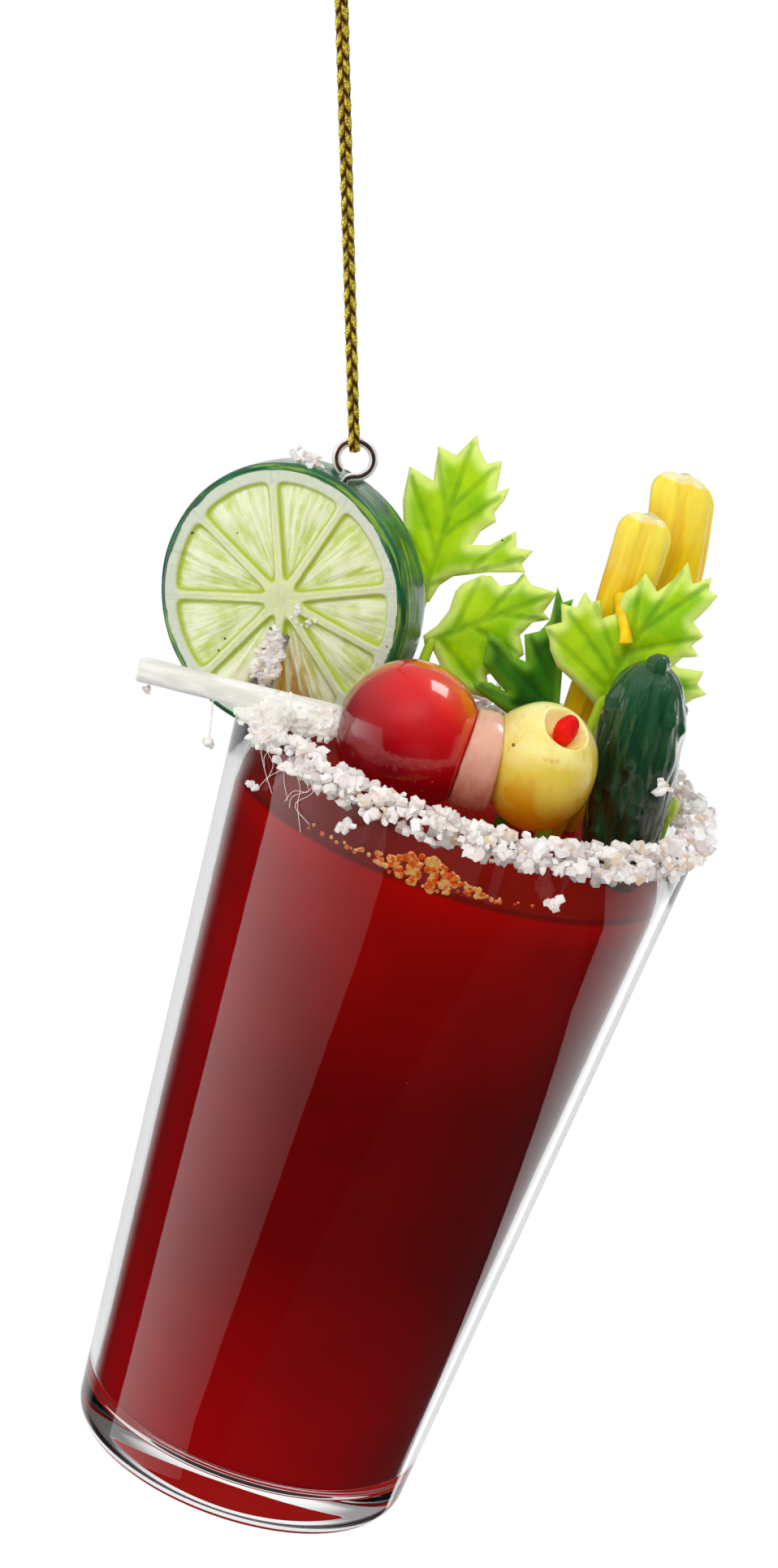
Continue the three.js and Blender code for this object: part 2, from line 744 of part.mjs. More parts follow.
// A place beside the outside of the glass, from the degrees around it, a height and a reach outwards
function besideGlass(turn, height, reach) {
  const radius = sideRadius(height, footRadius, rimRadius) + reach;
  return [radius * Math.cos(turn * degrees), radius * Math.sin(turn * degrees), height];
}

const crustStart = Math.atan2(stickStart.y, crossingX) + crustLead * degrees;

// The crust is a band over the rim with an uneven surface, hollowed where the glass passes.
function saltCrust() {
  const shares = [
    [-0.79, 0.58], [-1, 0.08], [-0.88, -0.36], [-0.53, -0.77], [0.33, -1], [0.9, -0.91], [1, -0.55],
    [0.57, 0.88], [0.05, 1],
  ];
  const section = shapeOf(shares.map(([down, inwards]) => [
    down * (down > 0 ? crustBelow : crustAbove),
    inwards * (inwards > 0 ? crustIn : crustOut),
  ]));
  class RimArc extends THREE.Curve {
    getPoint(along, target = new THREE.Vector3()) {
      const turn = crustStart + crustSpan * degrees * along;
      return target.set(rimMiddle * Math.cos(turn), rimMiddle * Math.sin(turn), 0);
    }
  }
  const band = new THREE.ExtrudeGeometry(section, { steps: crustSteps, extrudePath: new RimArc() });
  shifted(band, (point) => {
    const key = point.clone().multiplyScalar(20).round();
    const turn = Math.atan2(point.y, point.x);
    const outward = rough(key.x, key.y, key.z) * crustBump;
    const inside = Math.hypot(point.x, point.y) < rimMiddle;
    const spread = inside ? Math.min(outward, 0) * -0.5 : outward;
    point.x += spread * Math.cos(turn);
    point.y += spread * Math.sin(turn);
    const heap = 1 + crustHeap * Math.max(0, Math.cos(turn - crustHeapTurn * degrees));
    point.z = (point.z > 0 ? point.z * heap : point.z) + rough(key.z, key.x, key.y) * crustBump;
  });
  return solidOf(band).subtract(rimCutter).subtract(moved(tomatoBall(clearance), stickFrame.matrix));
}

const crust = saltCrust();
const glueMass = union([
  ellipsoid([crossingX - 1.67, -9.6, 0.9], [2.6, 3.2, 2.0], 10, 7),
  ellipsoid([crossingX + 0.93, -10.8, 2.2], [3.0, 3.2, 2.9], 10, 7),
  ellipsoid([crossingX + 4.33, -11.2, 2.3], [2.7, 2.9, 2.7], 10, 7),
  ellipsoid([crossingX + 6.53, -11.6, 3.0], [2.2, 2.4, 2.6], 10, 7),
])
  .subtract(moved(stickHole, stickFrame.matrix))
  .subtract(rimCutter)
  .subtract(moved(tomatoBall(clearance), stickFrame.matrix));

const slitFace = limeThickness / 2 + clearance;
const slitSalt = union([
  block(
    [slitShift, -clearance, slitTop - 2.3],
    [slitWidth - 2 * clearance, limeThickness + 2 * clearance, 4.0],
  ),
  union([
    lump([1.0, -slitFace - 0.2, -5.0], 1.15, 4, 2),
    lump([1.5, -slitFace - 0.3, -6.6], 1.2, 4, 5),
  ]).trimByPlane([0, -1, 0], slitFace),
]).subtract(moved(rimCutter, intoLime));

// A hair of glue hangs from the stick, with one grain at its end.
const threadAlong = crossingAlong - 6.1; // where it leaves the stick
const threadTop = new THREE.Vector3(threadAlong, 0, -stickRadius - clearance).applyMatrix4(stickFrame.matrix);
const threadDrop = 4.6;
const threadSway = 1.0;
const threadRadius = 0.16;
const hairPoint = (share) => [
  threadTop.x + threadSway * share,
  threadTop.y,
  threadTop.z - threadRadius - threadDrop * share,
];
const glueThread = union([
  swept([hairPoint(0), hairPoint(0.45), hairPoint(1)], threadRadius, threadRadius, 2, 6),
  grain(hairPoint(1), 0.75, 3),
]);

const gherkinSaltTurn = -58;
const gherkinSaltReach = gherkinRadius + 1.47;
const gherkinSaltAt = new THREE.Vector3(
  gherkinSaltReach * Math.cos(gherkinSaltTurn * degrees),
  gherkinSaltReach * Math.sin(gherkinSaltTurn * degrees),
  gherkinLength * 0.526,
).applyMatrix4(gherkinFrame.matrix);
const gherkinSalt = lump(gherkinSaltAt.toArray(), 0.9, 5, 41);

// Each bubble is given by its distance along the wall from the middle one, and its radius.
const frothMiddle = -97; // degrees around the glass
const froth = union([
  [-5.8, 0.95], [-3.9, 1.0], [-1.95, 1.25], [0, 1.5], [1.95, 1.25], [3.7, 1.0], [5.05, 0.75],
].map(([along, radius]) => {
  const reach = boreAt(drinkLevel) - radius - 0.05;
  const turn = frothMiddle * degrees + along / reach;
  return ellipsoid(
    [reach * Math.cos(turn), reach * Math.sin(turn), drinkLevel + clearance + radius * 0.7],
    [radius * 1.25, radius, radius * 0.7],
    8,
    6,
  );
}));

// Materials, one per node
const looks = {
  cord: { color: 0xc9a227, roughness: 0.42, metalness: 0.7 },
  steel: { color: 0xb9b2ac, roughness: 0.16, metalness: 1.0 },
  rind: { color: 0x8fb04a, roughness: 0.25, metalness: 0 },
  glass: { color: 0xf2f4f4, roughness: 0.03, metalness: 0 },
  drink: { color: 0x7c070e, roughness: 0.15, metalness: 0 },
  white: { color: 0xf1f0ea, roughness: 0.35, metalness: 0 },
  tomato: { color: 0xb30713, roughness: 0.12, metalness: 0 },
  onion: { color: 0xe6b7a4, roughness: 0.3, metalness: 0 },
  olive: { color: 0xe3cf52, roughness: 0.25, metalness: 0 },
  pimento: { color: 0xe02208, roughness: 0.35, metalness: 0 },
  gherkin: { color: 0x0f3b26, roughness: 0.18, metalness: 0 },
  celery: { color: 0xe6c02e, roughness: 0.4, metalness: 0 },
  paleLeaf: { color: 0x9ed137, roughness: 0.45, metalness: 0 },
  darkLeaf: { color: 0x1f6a24, roughness: 0.4, metalness: 0 },
  salt: { color: 0xeeeae6, roughness: 0.2, metalness: 0 },
  glue: { color: 0xece8e0, roughness: 0.2, metalness: 0 },
  froth: { color: 0xd9702a, roughness: 0.1, metalness: 0 },
};

function node(name, solid, look) {
  const mesh = new THREE.Mesh(geometryOf(solid), new THREE.MeshStandardMaterial(looks[look]));
  mesh.name = name;
  return mesh;
}

const part = new THREE.Group();
part.name = 'cocktail_glass_ornament';
part.add(node('cord_knot', knot(), 'cord'));
part.add(node('cord_front', strand(-1), 'cord'));
part.add(node('cord_back', strand(1), 'cord'));

const ornament = new THREE.Group();
ornament.name = 'ornament';
ornament.rotation.set(leanFront * degrees, leanSide * degrees, 0, 'YXZ');
limeFrame.name = 'lime_frame';
stickFrame.name = 'stick_frame';
ornament.add(limeFrame, stickFrame);
part.add(ornament);

limeFrame.add(node('lime_slice', limeSlice(), 'rind'));
limeFrame.add(node('salt_in_slit', slitSalt, 'salt'));
limeFrame.add(node('salt_on_lime', lump([-2.9, -1.4, limeRadius + 1.0], 0.75, 4, 8), 'salt'));
limeFrame.add(node('salt_at_centre', lump([3.7, -limeThickness / 2 - 0.95, -0.3], 0.6, 3, 11), 'salt'));
const eyeMesh = node('screw_eye', screwEye(), 'steel');
eyeMesh.position.copy(eyeInLime.position);
eyeMesh.rotation.copy(eyeInLime.rotation);
limeFrame.add(eyeMesh);

stickFrame.add(node('cocktail_stick', stick, 'white'));
stickFrame.add(node('cherry_tomato', tomato, 'tomato'));
stickFrame.add(node('onion_slice', onion, 'onion'));
stickFrame.add(node('olive', olive, 'olive'));
stickFrame.add(node('pimento', pimento, 'pimento'));
stickFrame.add(node('salt_under_stick', lump([stickLeft + 1.45, 0, -stickRadius - 0.95], 0.52, 3, 21), 'salt'));

ornament.add(node('glass_tumbler', glass, 'glass'));
ornament.add(node('drink_lining', lining, 'drink'));
ornament.add(node('drink_top', drinkTop, 'drink'));
ornament.add(node('froth', froth, 'froth'));
ornament.add(node('gherkin', gherkin(0), 'gherkin'));
ornament.add(node('celery_tall', stalk(tallStalk, 0), 'celery'));
ornament.add(node('celery_short', stalk(shortStalk, 0), 'celery'));
Object.entries(leafShapes).forEach(([name, leaf]) => {
  const look = name === 'leaf_dark' ? 'darkLeaf' : 'paleLeaf';
  ornament.add(node(name, leafBlade(leaf).add(leafStem(leaf, 0)), look));
});
ornament.add(node('salt_crust', crust, 'salt'));
ornament.add(node('salt_lump_left', lump(besideGlass(243.7, -3.2, 1.85), 0.9, 4, 31), 'salt'));
ornament.add(node('salt_lump_right', lump(besideGlass(295, -4.5, 1.35), 0.85, 4, 35), 'salt'));
ornament.add(node('salt_on_gherkin', gherkinSalt, 'salt'));
ornament.add(node('salt_grain_left', lump(besideGlass(213.3, -5.5, 1.07), 0.65, 3, 51), 'salt'));
ornament.add(node('glue_mass', glueMass, 'glue'));
ornament.add(node('glue_thread', glueThread, 'glue'));

// Hang the ornament so that the top of the eye's wire lies on the cord.
ornament.updateMatrixWorld(true);
const ringTop = new THREE.Vector3(0, 0, 1)
  .projectOnPlane(new THREE.Vector3(0, 1, 0).transformDirection(eyeMesh.matrixWorld))
  .normalize()
  .multiplyScalar(eyeRing)
  .add(new THREE.Vector3().setFromMatrixPosition(eyeMesh.matrixWorld));
ornament.position.set(...eyeTop).sub(ringTop);

export default part;
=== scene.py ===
import json
import random
from math import atan2, copysign, cos, degrees, exp, hypot, log, pi, radians, sin, sqrt

import bmesh
import bpy
from mathutils import Matrix, Quaternion, Vector, noise


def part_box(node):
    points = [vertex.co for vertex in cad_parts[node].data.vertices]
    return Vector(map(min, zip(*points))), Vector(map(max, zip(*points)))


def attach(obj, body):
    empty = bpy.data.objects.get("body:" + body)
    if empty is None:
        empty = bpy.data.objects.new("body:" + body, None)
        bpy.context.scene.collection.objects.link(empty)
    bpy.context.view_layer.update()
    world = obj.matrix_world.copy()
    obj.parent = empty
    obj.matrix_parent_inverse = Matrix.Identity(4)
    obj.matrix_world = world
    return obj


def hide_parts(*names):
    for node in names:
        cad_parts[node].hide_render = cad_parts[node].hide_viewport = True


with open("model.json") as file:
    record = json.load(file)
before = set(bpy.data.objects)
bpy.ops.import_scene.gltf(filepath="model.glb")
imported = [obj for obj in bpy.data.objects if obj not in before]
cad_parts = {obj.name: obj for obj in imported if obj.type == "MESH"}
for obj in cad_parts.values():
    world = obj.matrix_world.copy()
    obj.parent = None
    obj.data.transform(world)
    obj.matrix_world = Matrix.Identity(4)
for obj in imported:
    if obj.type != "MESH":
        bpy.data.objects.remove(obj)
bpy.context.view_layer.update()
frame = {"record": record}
scene = bpy.context.scene
mm = 0.001  # shapes below are given in millimetres and scaled at the end


def turn(angle, axis):
    return Matrix.Rotation(radians(angle), 4, axis)


def shift(*place):
    return Matrix.Translation(Vector(place))


def stretch(*sizes):
    return Matrix.Diagonal((*sizes, 1))


def addObject(name, data):
    made = bpy.data.objects.new(name, data)
    scene.collection.objects.link(made)
    return made


# How the glass hangs, worked out from the foot's mount
glass = dict(height=86.8, rimRadius=26.2, footRadius=18.6, rimWall=2.0, base=5.0,
             footCorner=4.0, floorCorner=3.0, leanSide=19.6, leanFront=9.0)
foot = next(mount for mount in frame["record"]["mounts"] if mount["name"] == "glass_foot")
rimCentre = Vector(foot["pos_m"]) / mm - Vector(foot["axis"]) * glass["height"]
glassFrame = shift(*rimCentre) @ turn(glass["leanSide"], "Y") @ turn(glass["leanFront"], "X")
clearance = 0.3
rimMiddle = glass["rimRadius"] - glass["rimWall"] / 2
boreRim = glass["rimRadius"] - glass["rimWall"]

lime = dict(radius=15.0, thickness=6.0, edge=0.9, bearing=156.0, up=8.55, slitShift=0.95, slitWidth=2.6,
            slitTop=-3.6, pith=2.1, membrane=0.42, recess=0.55, dimple=1.75,
            spokes=(114, 74, 28, -4, -35, -74, -117, -159, 159))
limeOut = rimMiddle + lime["slitShift"]
limeFrame = (glassFrame @ turn(lime["bearing"], "Z") @ shift(limeOut, 0, lime["up"])
             @ turn(180, "Z"))

eye = dict(wire=0.95, ring=2.03, above=2.15, lean=6.5, twist=22.8, shank=9.0, ringStart=-70, ringEnd=250)
eyeReach = lime["radius"] + eye["above"]
eyeInLime = turn(eye["lean"], "Y") @ shift(0, 0, eyeReach) @ turn(eye["twist"], "Z")
eyeFrame = limeFrame @ eyeInLime

gherkin = dict(inwards=6.05, y=-4.0, foot=-8.2, lean=-7.2, length=27.2, radius=4.55, nub=1.3)
gherkinX = boreRim - gherkin["inwards"]
gherkinFrame = glassFrame @ shift(gherkinX, gherkin["y"], gherkin["foot"]) @ turn(gherkin["lean"], "Y")

stick = dict(tomatoIn=26.25, y=-10.0, z=3.7, rise=4.05, radius=1.38, bore=0.88, boreDepth=5.0,
             out=14.6, right=16.6)
stickX = gherkinX - stick["tomatoIn"]
stickFrame = glassFrame @ shift(stickX, stick["y"], stick["z"]) @ turn(-stick["rise"], "Y")
crossingX = -sqrt(rimMiddle ** 2 - stick["y"] ** 2)
stickLeft = crossingX - stickX - stick["out"]


# Camera, at the photo's angle
cameraSet = dict(place=(2.725, -696.675, 18.169), aim=(2.725, -5.293, -91.336), roll=-1.61, lens=148.4,
                 sensor=36)


def makeCamera():
    data = bpy.data.cameras.new("photo_camera")
    data.lens = cameraSet["lens"]
    data.sensor_width = cameraSet["sensor"]
    camera = addObject("photo_camera", data)
    place = Vector(cameraSet["place"])
    look = (Vector(cameraSet["aim"]) - place).to_track_quat("-Z", "Y")
    camera.rotation_mode = "QUATERNION"
    camera.rotation_quaternion = look @ Quaternion((0, 0, 1), radians(cameraSet["roll"]))
    camera.location = place * mm
    scene.camera = camera


makeCamera()
print("camera set")


# Small tools for node trees
def paint(tone):
    # three numbers of a paint chart, 0 to 255, become a linear colour; other tones stay as they are
    if not isinstance(tone, tuple) or len(tone) != 3:
        return tone
    channels = [value / 255 for value in tone]
    return tuple(c / 12.92 if c <= 0.04045 else ((c + 0.055) / 1.055) ** 2.4 for c in channels) + (1.0,)


class Nodes:
    # adds nodes to a tree; an input takes a socket or a value
    def __init__(self, tree):
        self.tree = tree

    def fill(self, made, inputs):
        for name, value in inputs.items():
            if isinstance(value, bpy.types.NodeSocket):
                self.tree.links.new(value, made.inputs[name])
            else:
                made.inputs[name].default_value = value
        return made

    def add(self, kind, inputs=None, **settings):
        made = self.tree.nodes.new("ShaderNode" + kind)
        for name, value in settings.items():
            setattr(made, name, value)
        return self.fill(made, inputs or {})

    def use(self, group, **values):
        made = self.tree.nodes.new("ShaderNodeGroup")
        made.node_tree = group
        return self.fill(made, values).outputs[0]

    def blend(self, share, first, second):
        # the Mix node's colour sockets stand at places 6 and 7
        return self.add("Mix", {0: share, 6: paint(first), 7: paint(second)}, data_type="RGBA").outputs[2]

    def layers(self, base, *coats):
        # each coat is a mask, at times its strength, and a colour
        for mask, *strength, tone in coats:
            base = self.blend(self.times(mask, *strength) if strength else mask, base, tone)
        return base

    def ramp(self, value, low, high, toLow=0.0, toHigh=1.0):
        limits = {"Value": value, "From Min": low, "From Max": high, "To Min": toLow, "To Max": toHigh}
        return self.add("MapRange", limits, interpolation_type="SMOOTHSTEP").outputs["Result"]

    def calc(self, operation, first, second=0.0):
        return self.add("Math", {0: first, 1: second}, operation=operation).outputs[0]

    def times(self, first, second):
        return self.calc("MULTIPLY", first, second)

    def plus(self, first, second):
        return self.calc("ADD", first, second)

    def read(self, name):
        return self.add("Attribute", attribute_name=name).outputs["Fac"]

    def join(self, x, y, z):
        return self.add("CombineXYZ", {0: x, 1: y, 2: z}).outputs[0]

    def mixShader(self, share, first, second):
        return self.add("MixShader", {0: share, 1: first, 2: second}).outputs[0]

    def placeIn(self, matrix=None, scale=(1, 1, 1)):
        # Object coordinates, turned into a piece's own frame and stretched
        source = self.add("TexCoord").outputs["Object"]
        if matrix is not None:
            where = {"Location": matrix.to_translation() * mm, "Rotation": matrix.to_euler()}
            source = self.add("Mapping", {"Vector": source, **where}, vector_type="TEXTURE").outputs["Vector"]
        return self.add("Mapping", {"Vector": source, "Scale": scale}).outputs["Vector"]


# Effects that several finishes share
def newGroup(name, output, kind="Float", **inputs):
    group = bpy.data.node_groups.new(name, "ShaderNodeTree")
    group.interface.new_socket("Place", in_out="INPUT", socket_type="NodeSocketVector")
    for label, value in inputs.items():
        group.interface.new_socket(label, in_out="INPUT", socket_type="NodeSocketFloat").default_value = value
    group.interface.new_socket(output, in_out="OUTPUT", socket_type="NodeSocket" + kind)
    start = group.nodes.new("NodeGroupInput").outputs
    end = group.nodes.new("NodeGroupOutput").inputs[output]
    return Nodes(group), start, end


def makeMottle():
    nodes, start, end = newGroup("mottle", "Share", Size=500, Detail=4, Low=0.35, High=0.65)
    cloud = nodes.add("TexNoise", {"Vector": start["Place"], "Scale": start["Size"],
                                   "Detail": start["Detail"]})
    nodes.tree.links.new(nodes.ramp(cloud.outputs["Fac"], start["Low"], start["High"]), end)
    return nodes.tree


def makeGrain():
    nodes, start, end = newGroup("surfaceGrain", "Normal", "Vector", Size=2000, Strength=0.2, Depth=0.0002)
    broad = nodes.add("TexNoise", {"Vector": start["Place"], "Scale": start["Size"], "Detail": 5})
    bump = nodes.add("Bump", {"Strength": start["Strength"], "Distance": start["Depth"],
                              "Height": broad.outputs["Fac"]})
    nodes.tree.links.new(bump.outputs["Normal"], end)
    return nodes.tree


def makeSpecks():
    nodes, start, end = newGroup("dustSpecks", "Share", Size=700, Width=0.1)
    cells = nodes.add("TexVoronoi", {"Vector": start["Place"], "Scale": start["Size"]})
    near = nodes.calc("LESS_THAN", cells.outputs["Distance"], start["Width"])
    tone = nodes.add("SeparateColor", {"Color": cells.outputs["Color"]})
    nodes.tree.links.new(nodes.times(near, nodes.calc("GREATER_THAN", tone.outputs["Red"], 0.7)), end)
    return nodes.tree


mottle = makeMottle()
surfaceGrain = makeGrain()
dustSpecks = makeSpecks()


class Finish(Nodes):
    # one material; its shader's sockets are named with _ for a space
    def __init__(self, name, *where, **sockets):
        self.material = bpy.data.materials.new(name)
        self.material.use_nodes = True
        super().__init__(self.material.node_tree)
        self.solid = self.tree.nodes["Principled BSDF"]
        self.where = where
        self.own = None
        self.set(**sockets)

    def set(self, **sockets):
        self.fill(self.solid, {label.replace("_", " "): value for label, value in sockets.items()})

    def place(self):
        # its own Object coordinates, made at the first call
        if self.own is None:
            self.own = self.placeIn(*self.where)
        return self.own

    def axes(self):
        return self.add("SeparateXYZ", {"Vector": self.place()}).outputs

    def mottled(self, size, place=None, **values):
        return self.use(mottle, Place=place or self.place(), Size=size, **values)

    def specks(self, size, width):
        return self.use(dustSpecks, Place=self.place(), Size=size, Width=width)

    def done(self, colour, rough, grain=None, along=None, soft=None, glow=None, shadow=None):
        # rough is a mask and its two ends, grain a size, strength and depth, glow a colour and strength
        self.set(Base_Color=colour, Roughness=self.ramp(rough[0], 0.0, 1.0, *rough[1:]))
        if grain:
            size, strength, depth = grain
            self.set(Normal=self.use(surfaceGrain, Place=along or self.place(), Size=size, Strength=strength,
                                     Depth=depth))
        if soft:
            weight, radius = soft
            self.set(Subsurface_Weight=weight, Subsurface_Radius=radius, Subsurface_Scale=1.0)
        if glow:
            self.set(Emission_Color=glow[0], Emission_Strength=glow[1])
        if shadow:
            # lamps shine through clear pieces, which cast a light shadow only
            clear = self.add("BsdfTransparent", {"Color": shadow})
            ray = self.add("LightPath").outputs["Is Shadow Ray"]
            self.showAs(self.mixShader(ray, self.solid.outputs[0], clear.outputs[0]))
        return self.material

    def showAs(self, shader):
        self.fill(self.tree.nodes["Material Output"], {"Surface": shader})


# Finishes
def goldThread():
    look = Finish("gold_thread", Metallic=0.35)
    stitch = look.read("stitch")
    glints = look.mottled(5200, Low=0.46, High=0.56)
    # painted shade and light: darker in the gaps between the loops, lighter on the loop tops
    tone = look.layers((44, 28, 4), (look.ramp(stitch, 0.1, 0.5), (196, 146, 24)),
                       (look.ramp(stitch, 0.45, 0.8), (255, 236, 84)), (glints, 0.75, (74, 46, 6)))
    return look.done(tone, (glints, 0.16, 0.42), grain=(9000, 0.5, 0.0001))


def brightSteel():
    look = Finish("bright_steel")
    # orange patches, mottled at random
    orangeMottle = look.mottled(900, Low=0.45, High=0.7)
    # painted reflection: near-white on the faces seen edge-on, which are also made less metallic
    side = look.ramp(look.add("LayerWeight", {"Blend": 0.5}).outputs["Facing"], 0.05, 0.2)
    tone = look.layers((120, 100, 98), (orangeMottle, (196, 128, 88)), (side, (242, 240, 238)))
    look.set(Metallic=look.ramp(side, 0.0, 1.0, 0.85, 0.1))
    return look.done(tone, (orangeMottle, 0.06, 0.18), grain=(2500, 0.08, 0.0001))


def limeResin():
    look = Finish("lime_resin", limeFrame, Coat_Weight=0.7, Coat_Roughness=0.08)
    reach, wedge, bearing, tone = [look.read(name) for name in ("reach", "wedge", "bearing", "tone")]
    axes = look.axes()
    # fibres run outwards in each segment
    outwards = look.join(look.times(bearing, 17), look.times(reach, 0.22), tone)
    fibres = look.mottled(1, outwards, Detail=3, Low=0.36, High=0.62)
    clouds = look.mottled(330, Low=0.35, High=0.68)
    flesh = look.layers((226, 231, 190), (fibres, (188, 205, 94)), (clouds, 0.6, (238, 240, 214)),
                        (look.ramp(wedge, 0.6, 0.12), (172, 190, 40)))
    pith = look.layers((222, 226, 172), (look.ramp(reach, 3, 12.5), (200, 208, 186)),
                       (look.mottled(1400), (204, 212, 192)),
                       (look.ramp(reach, 13, 12, 0, 0.4), (228, 234, 150)))
    # an amber patch low on the side nearest the glass axis
    away = look.plus(look.calc("ABSOLUTE", look.calc("SUBTRACT", axes["X"], 0.0035)),
                     look.calc("ABSOLUTE", look.plus(axes["Z"], 0.0095)))
    amberPatch = look.times(look.ramp(away, 0.0085, 0.002), look.ramp(fibres, 0.2, 0.9, 0.35, 1.0))
    face = look.layers(pith, (look.ramp(wedge, -0.1, 0.15), flesh), (amberPatch, 0.8, (176, 104, 20)),
                       (look.specks(420, 0.075), (62, 70, 30)))
    # the rind's brushed bands run round it
    around = look.join(look.times(bearing, 2.2), look.times(axes["Y"], 2300), look.times(reach, 1.6))
    rind = look.layers((10, 74, 48), (look.mottled(300), (18, 104, 62)),
                       (look.mottled(1, around, Low=0.52, High=0.66), (120, 158, 42)))
    border = look.plus(reach, look.ramp(clouds, 0, 1, -0.12, 0.12))
    ridges = look.add("TexNoise", {"Vector": outwards, "Scale": 1.6, "Detail": 4})
    bands = look.add("TexNoise", {"Vector": around, "Scale": 1.5, "Detail": 4})
    onRind = look.ramp(reach, 13.9, 14.2)
    height = look.add("Mix", {0: onRind, 2: ridges.outputs["Fac"], 3: bands.outputs["Fac"]}).outputs[0]
    bump = look.add("Bump", {"Strength": 0.45, "Distance": 0.0003, "Height": height})
    look.set(Normal=bump.outputs["Normal"])
    return look.done(look.blend(look.ramp(border, 13.95, 14.15), face, rind), (clouds, 0.2, 0.42),
                     soft=(0.15, (0.0012, 0.0012, 0.0005)))


def clearGlass():
    look = Finish("clear_glass", glassFrame, Transmission_Weight=1.0, IOR=1.5)
    smears = look.mottled(120, Low=0.5, High=0.8)
    return look.done(look.blend(smears, (0.985, 0.99, 0.99, 1), (0.965, 0.97, 0.975, 1)), (smears, 0, 0.012),
                     grain=(55, 0.05, 0.0004), shadow=(0.97, 0.975, 0.975, 1))


def redDrink():
    look = Finish("red_drink", glassFrame, Specular_IOR_Level=0.0, Coat_Roughness=0.03)
    axes = look.axes()
    top = look.ramp(axes["Z"], -0.0078, -0.0073)
    clouds = look.mottled(90, Detail=3)
    # painted light and shade: the red is brighter towards the bottom, on the left and just below the top, and
    # the top face is darker as painted shade under the garnish
    body = look.layers((166, 5, 9), (look.ramp(axes["Z"], -0.045, -0.083), (236, 8, 18)),
                       (look.ramp(axes["X"], -0.006, -0.022), 0.9, (255, 12, 26)),
                       (look.ramp(axes["Z"], -0.034, -0.010), 0.85, (236, 12, 8)), (top, (150, 22, 12)),
                       (clouds, 0.2, (92, 2, 6)), (look.specks(260, 0.022), (196, 110, 100)))
    look.set(Coat_Weight=look.times(top, 0.06))
    # light gathered by the glass foot
    under = look.blend(look.ramp(axes["Z"], -0.0812, -0.0818), (0, 0, 0), (226, 40, 34))
    return look.done(body, (clouds, 0.12, 0.22), grain=(160, 0.06, 0.0003), glow=(under, 0.3))


def amberFroth():
    look = Finish("amber_froth", Coat_Weight=1.0, Coat_Roughness=0.03)
    share = look.mottled(1400, Low=0.4, High=0.6)
    tone = look.blend(share, (240, 88, 10), (255, 196, 112))
    # painted glow: the froth gives off a little of its own colour, though it is no lamp
    return look.done(tone, (share, 0.03, 0.12), glow=(tone, 0.2))


def whiteStick():
    look = Finish("white_stick", stickFrame, (0.25, 1, 1), Coat_Weight=0.5, Coat_Roughness=0.2)
    share = look.mottled(900, Detail=6)
    return look.done(look.blend(share, (246, 245, 240), (222, 219, 208)), (share, 0.25, 0.5),
                     grain=(1500, 0.35, 0.0002), soft=(0.3, (0.001, 0.001, 0.001)))


def tomatoSkin():
    look = Finish("tomato_skin", stickFrame, Coat_Weight=1.0, Coat_Roughness=0.04)
    clouds = look.mottled(160, Detail=3)
    axes = look.axes()
    # painted light and shade: lighter towards the upper right, darker below, with an orange painted rim of
    # light on the upper right fringe
    slope = look.plus(look.times(axes["X"], 0.6), axes["Z"])
    edge = look.times(look.ramp(slope, 0.0062, 0.0094), look.ramp(clouds, 0, 1, 0.5, 1.0))
    dust = look.times(look.specks(1100, 0.1), look.ramp(axes["Z"], 0.001, -0.005))
    body = look.layers((122, 0, 14), (look.ramp(slope, -0.004, 0.0095), (232, 0, 14)),
                       (clouds, 0.4, (166, 0, 6)), (edge, (222, 84, 16)), (dust, (220, 150, 150)))
    return look.done(body, (clouds, 0.14, 0.26), grain=(260, 0.1, 0.0004))


def onionFlesh():
    look = Finish("onion_flesh", stickFrame, (3, 1, 1), Coat_Weight=0.9, Coat_Roughness=0.1)
    share = look.mottled(420, Detail=5)
    # painted light: lighter towards the top
    base = look.layers((196, 118, 96), (look.ramp(look.axes()["Z"], -0.004, 0.004), (228, 172, 148)),
                       (share, 0.3, (230, 186, 162)))
    return look.done(base, (share, 0.18, 0.35), grain=(900, 0.1, 0.0002), soft=(0.4, (0.002, 0.0009, 0.0006)))


def oliveSkin():
    look = Finish("olive_skin", stickFrame, Coat_Weight=0.6, Coat_Roughness=0.14)
    clouds = look.mottled(240, Detail=4)
    # painted light and shade: pale towards the top, deep orange towards the bottom
    height = look.plus(look.axes()["Z"], look.ramp(clouds, 0, 1, -0.0012, 0.0012))
    base = look.layers((230, 202, 70), (look.ramp(height, 0.0015, -0.005), (222, 146, 2)),
                       (look.ramp(height, 0.0012, 0.006), (250, 238, 158)),
                       (look.mottled(620, Low=0.62, High=0.78), 0.55, (196, 134, 26)),
                       (look.specks(260, 0.055), (120, 96, 40)))
    return look.done(base, (clouds, 0.22, 0.4), grain=(800, 0.22, 0.0003),
                     along=look.placeIn(stickFrame, (1, 1, 0.35)), soft=(0.2, (0.0015, 0.001, 0.0003)))


def pimentoPaint():
    look = Finish("pimento_paint", Specular_IOR_Level=0.2)
    share = look.mottled(1100)
    return look.done(look.blend(share, (238, 18, 4), (214, 8, 4)), (share, 0.3, 0.5),
                     grain=(2600, 0.3, 0.0002))


def gherkinSkin():
    look = Finish("gherkin_skin", gherkinFrame, Coat_Weight=1.0, Coat_Roughness=0.06)
    along = look.placeIn(gherkinFrame, (1, 1, 0.2))
    streaks = look.mottled(700, along, Detail=5)
    # painted light: lighter green towards the top
    base = look.layers((4, 34, 16), (streaks, (16, 62, 30)),
                       (look.ramp(look.axes()["Z"], 0.012, 0.027), 0.6, (30, 96, 58)),
                       (look.mottled(180, Low=0.5, High=0.75), 0.5, (44, 82, 26)))
    return look.done(base, (streaks, 0.16, 0.34), grain=(800, 1.0, 0.0011), along=along)


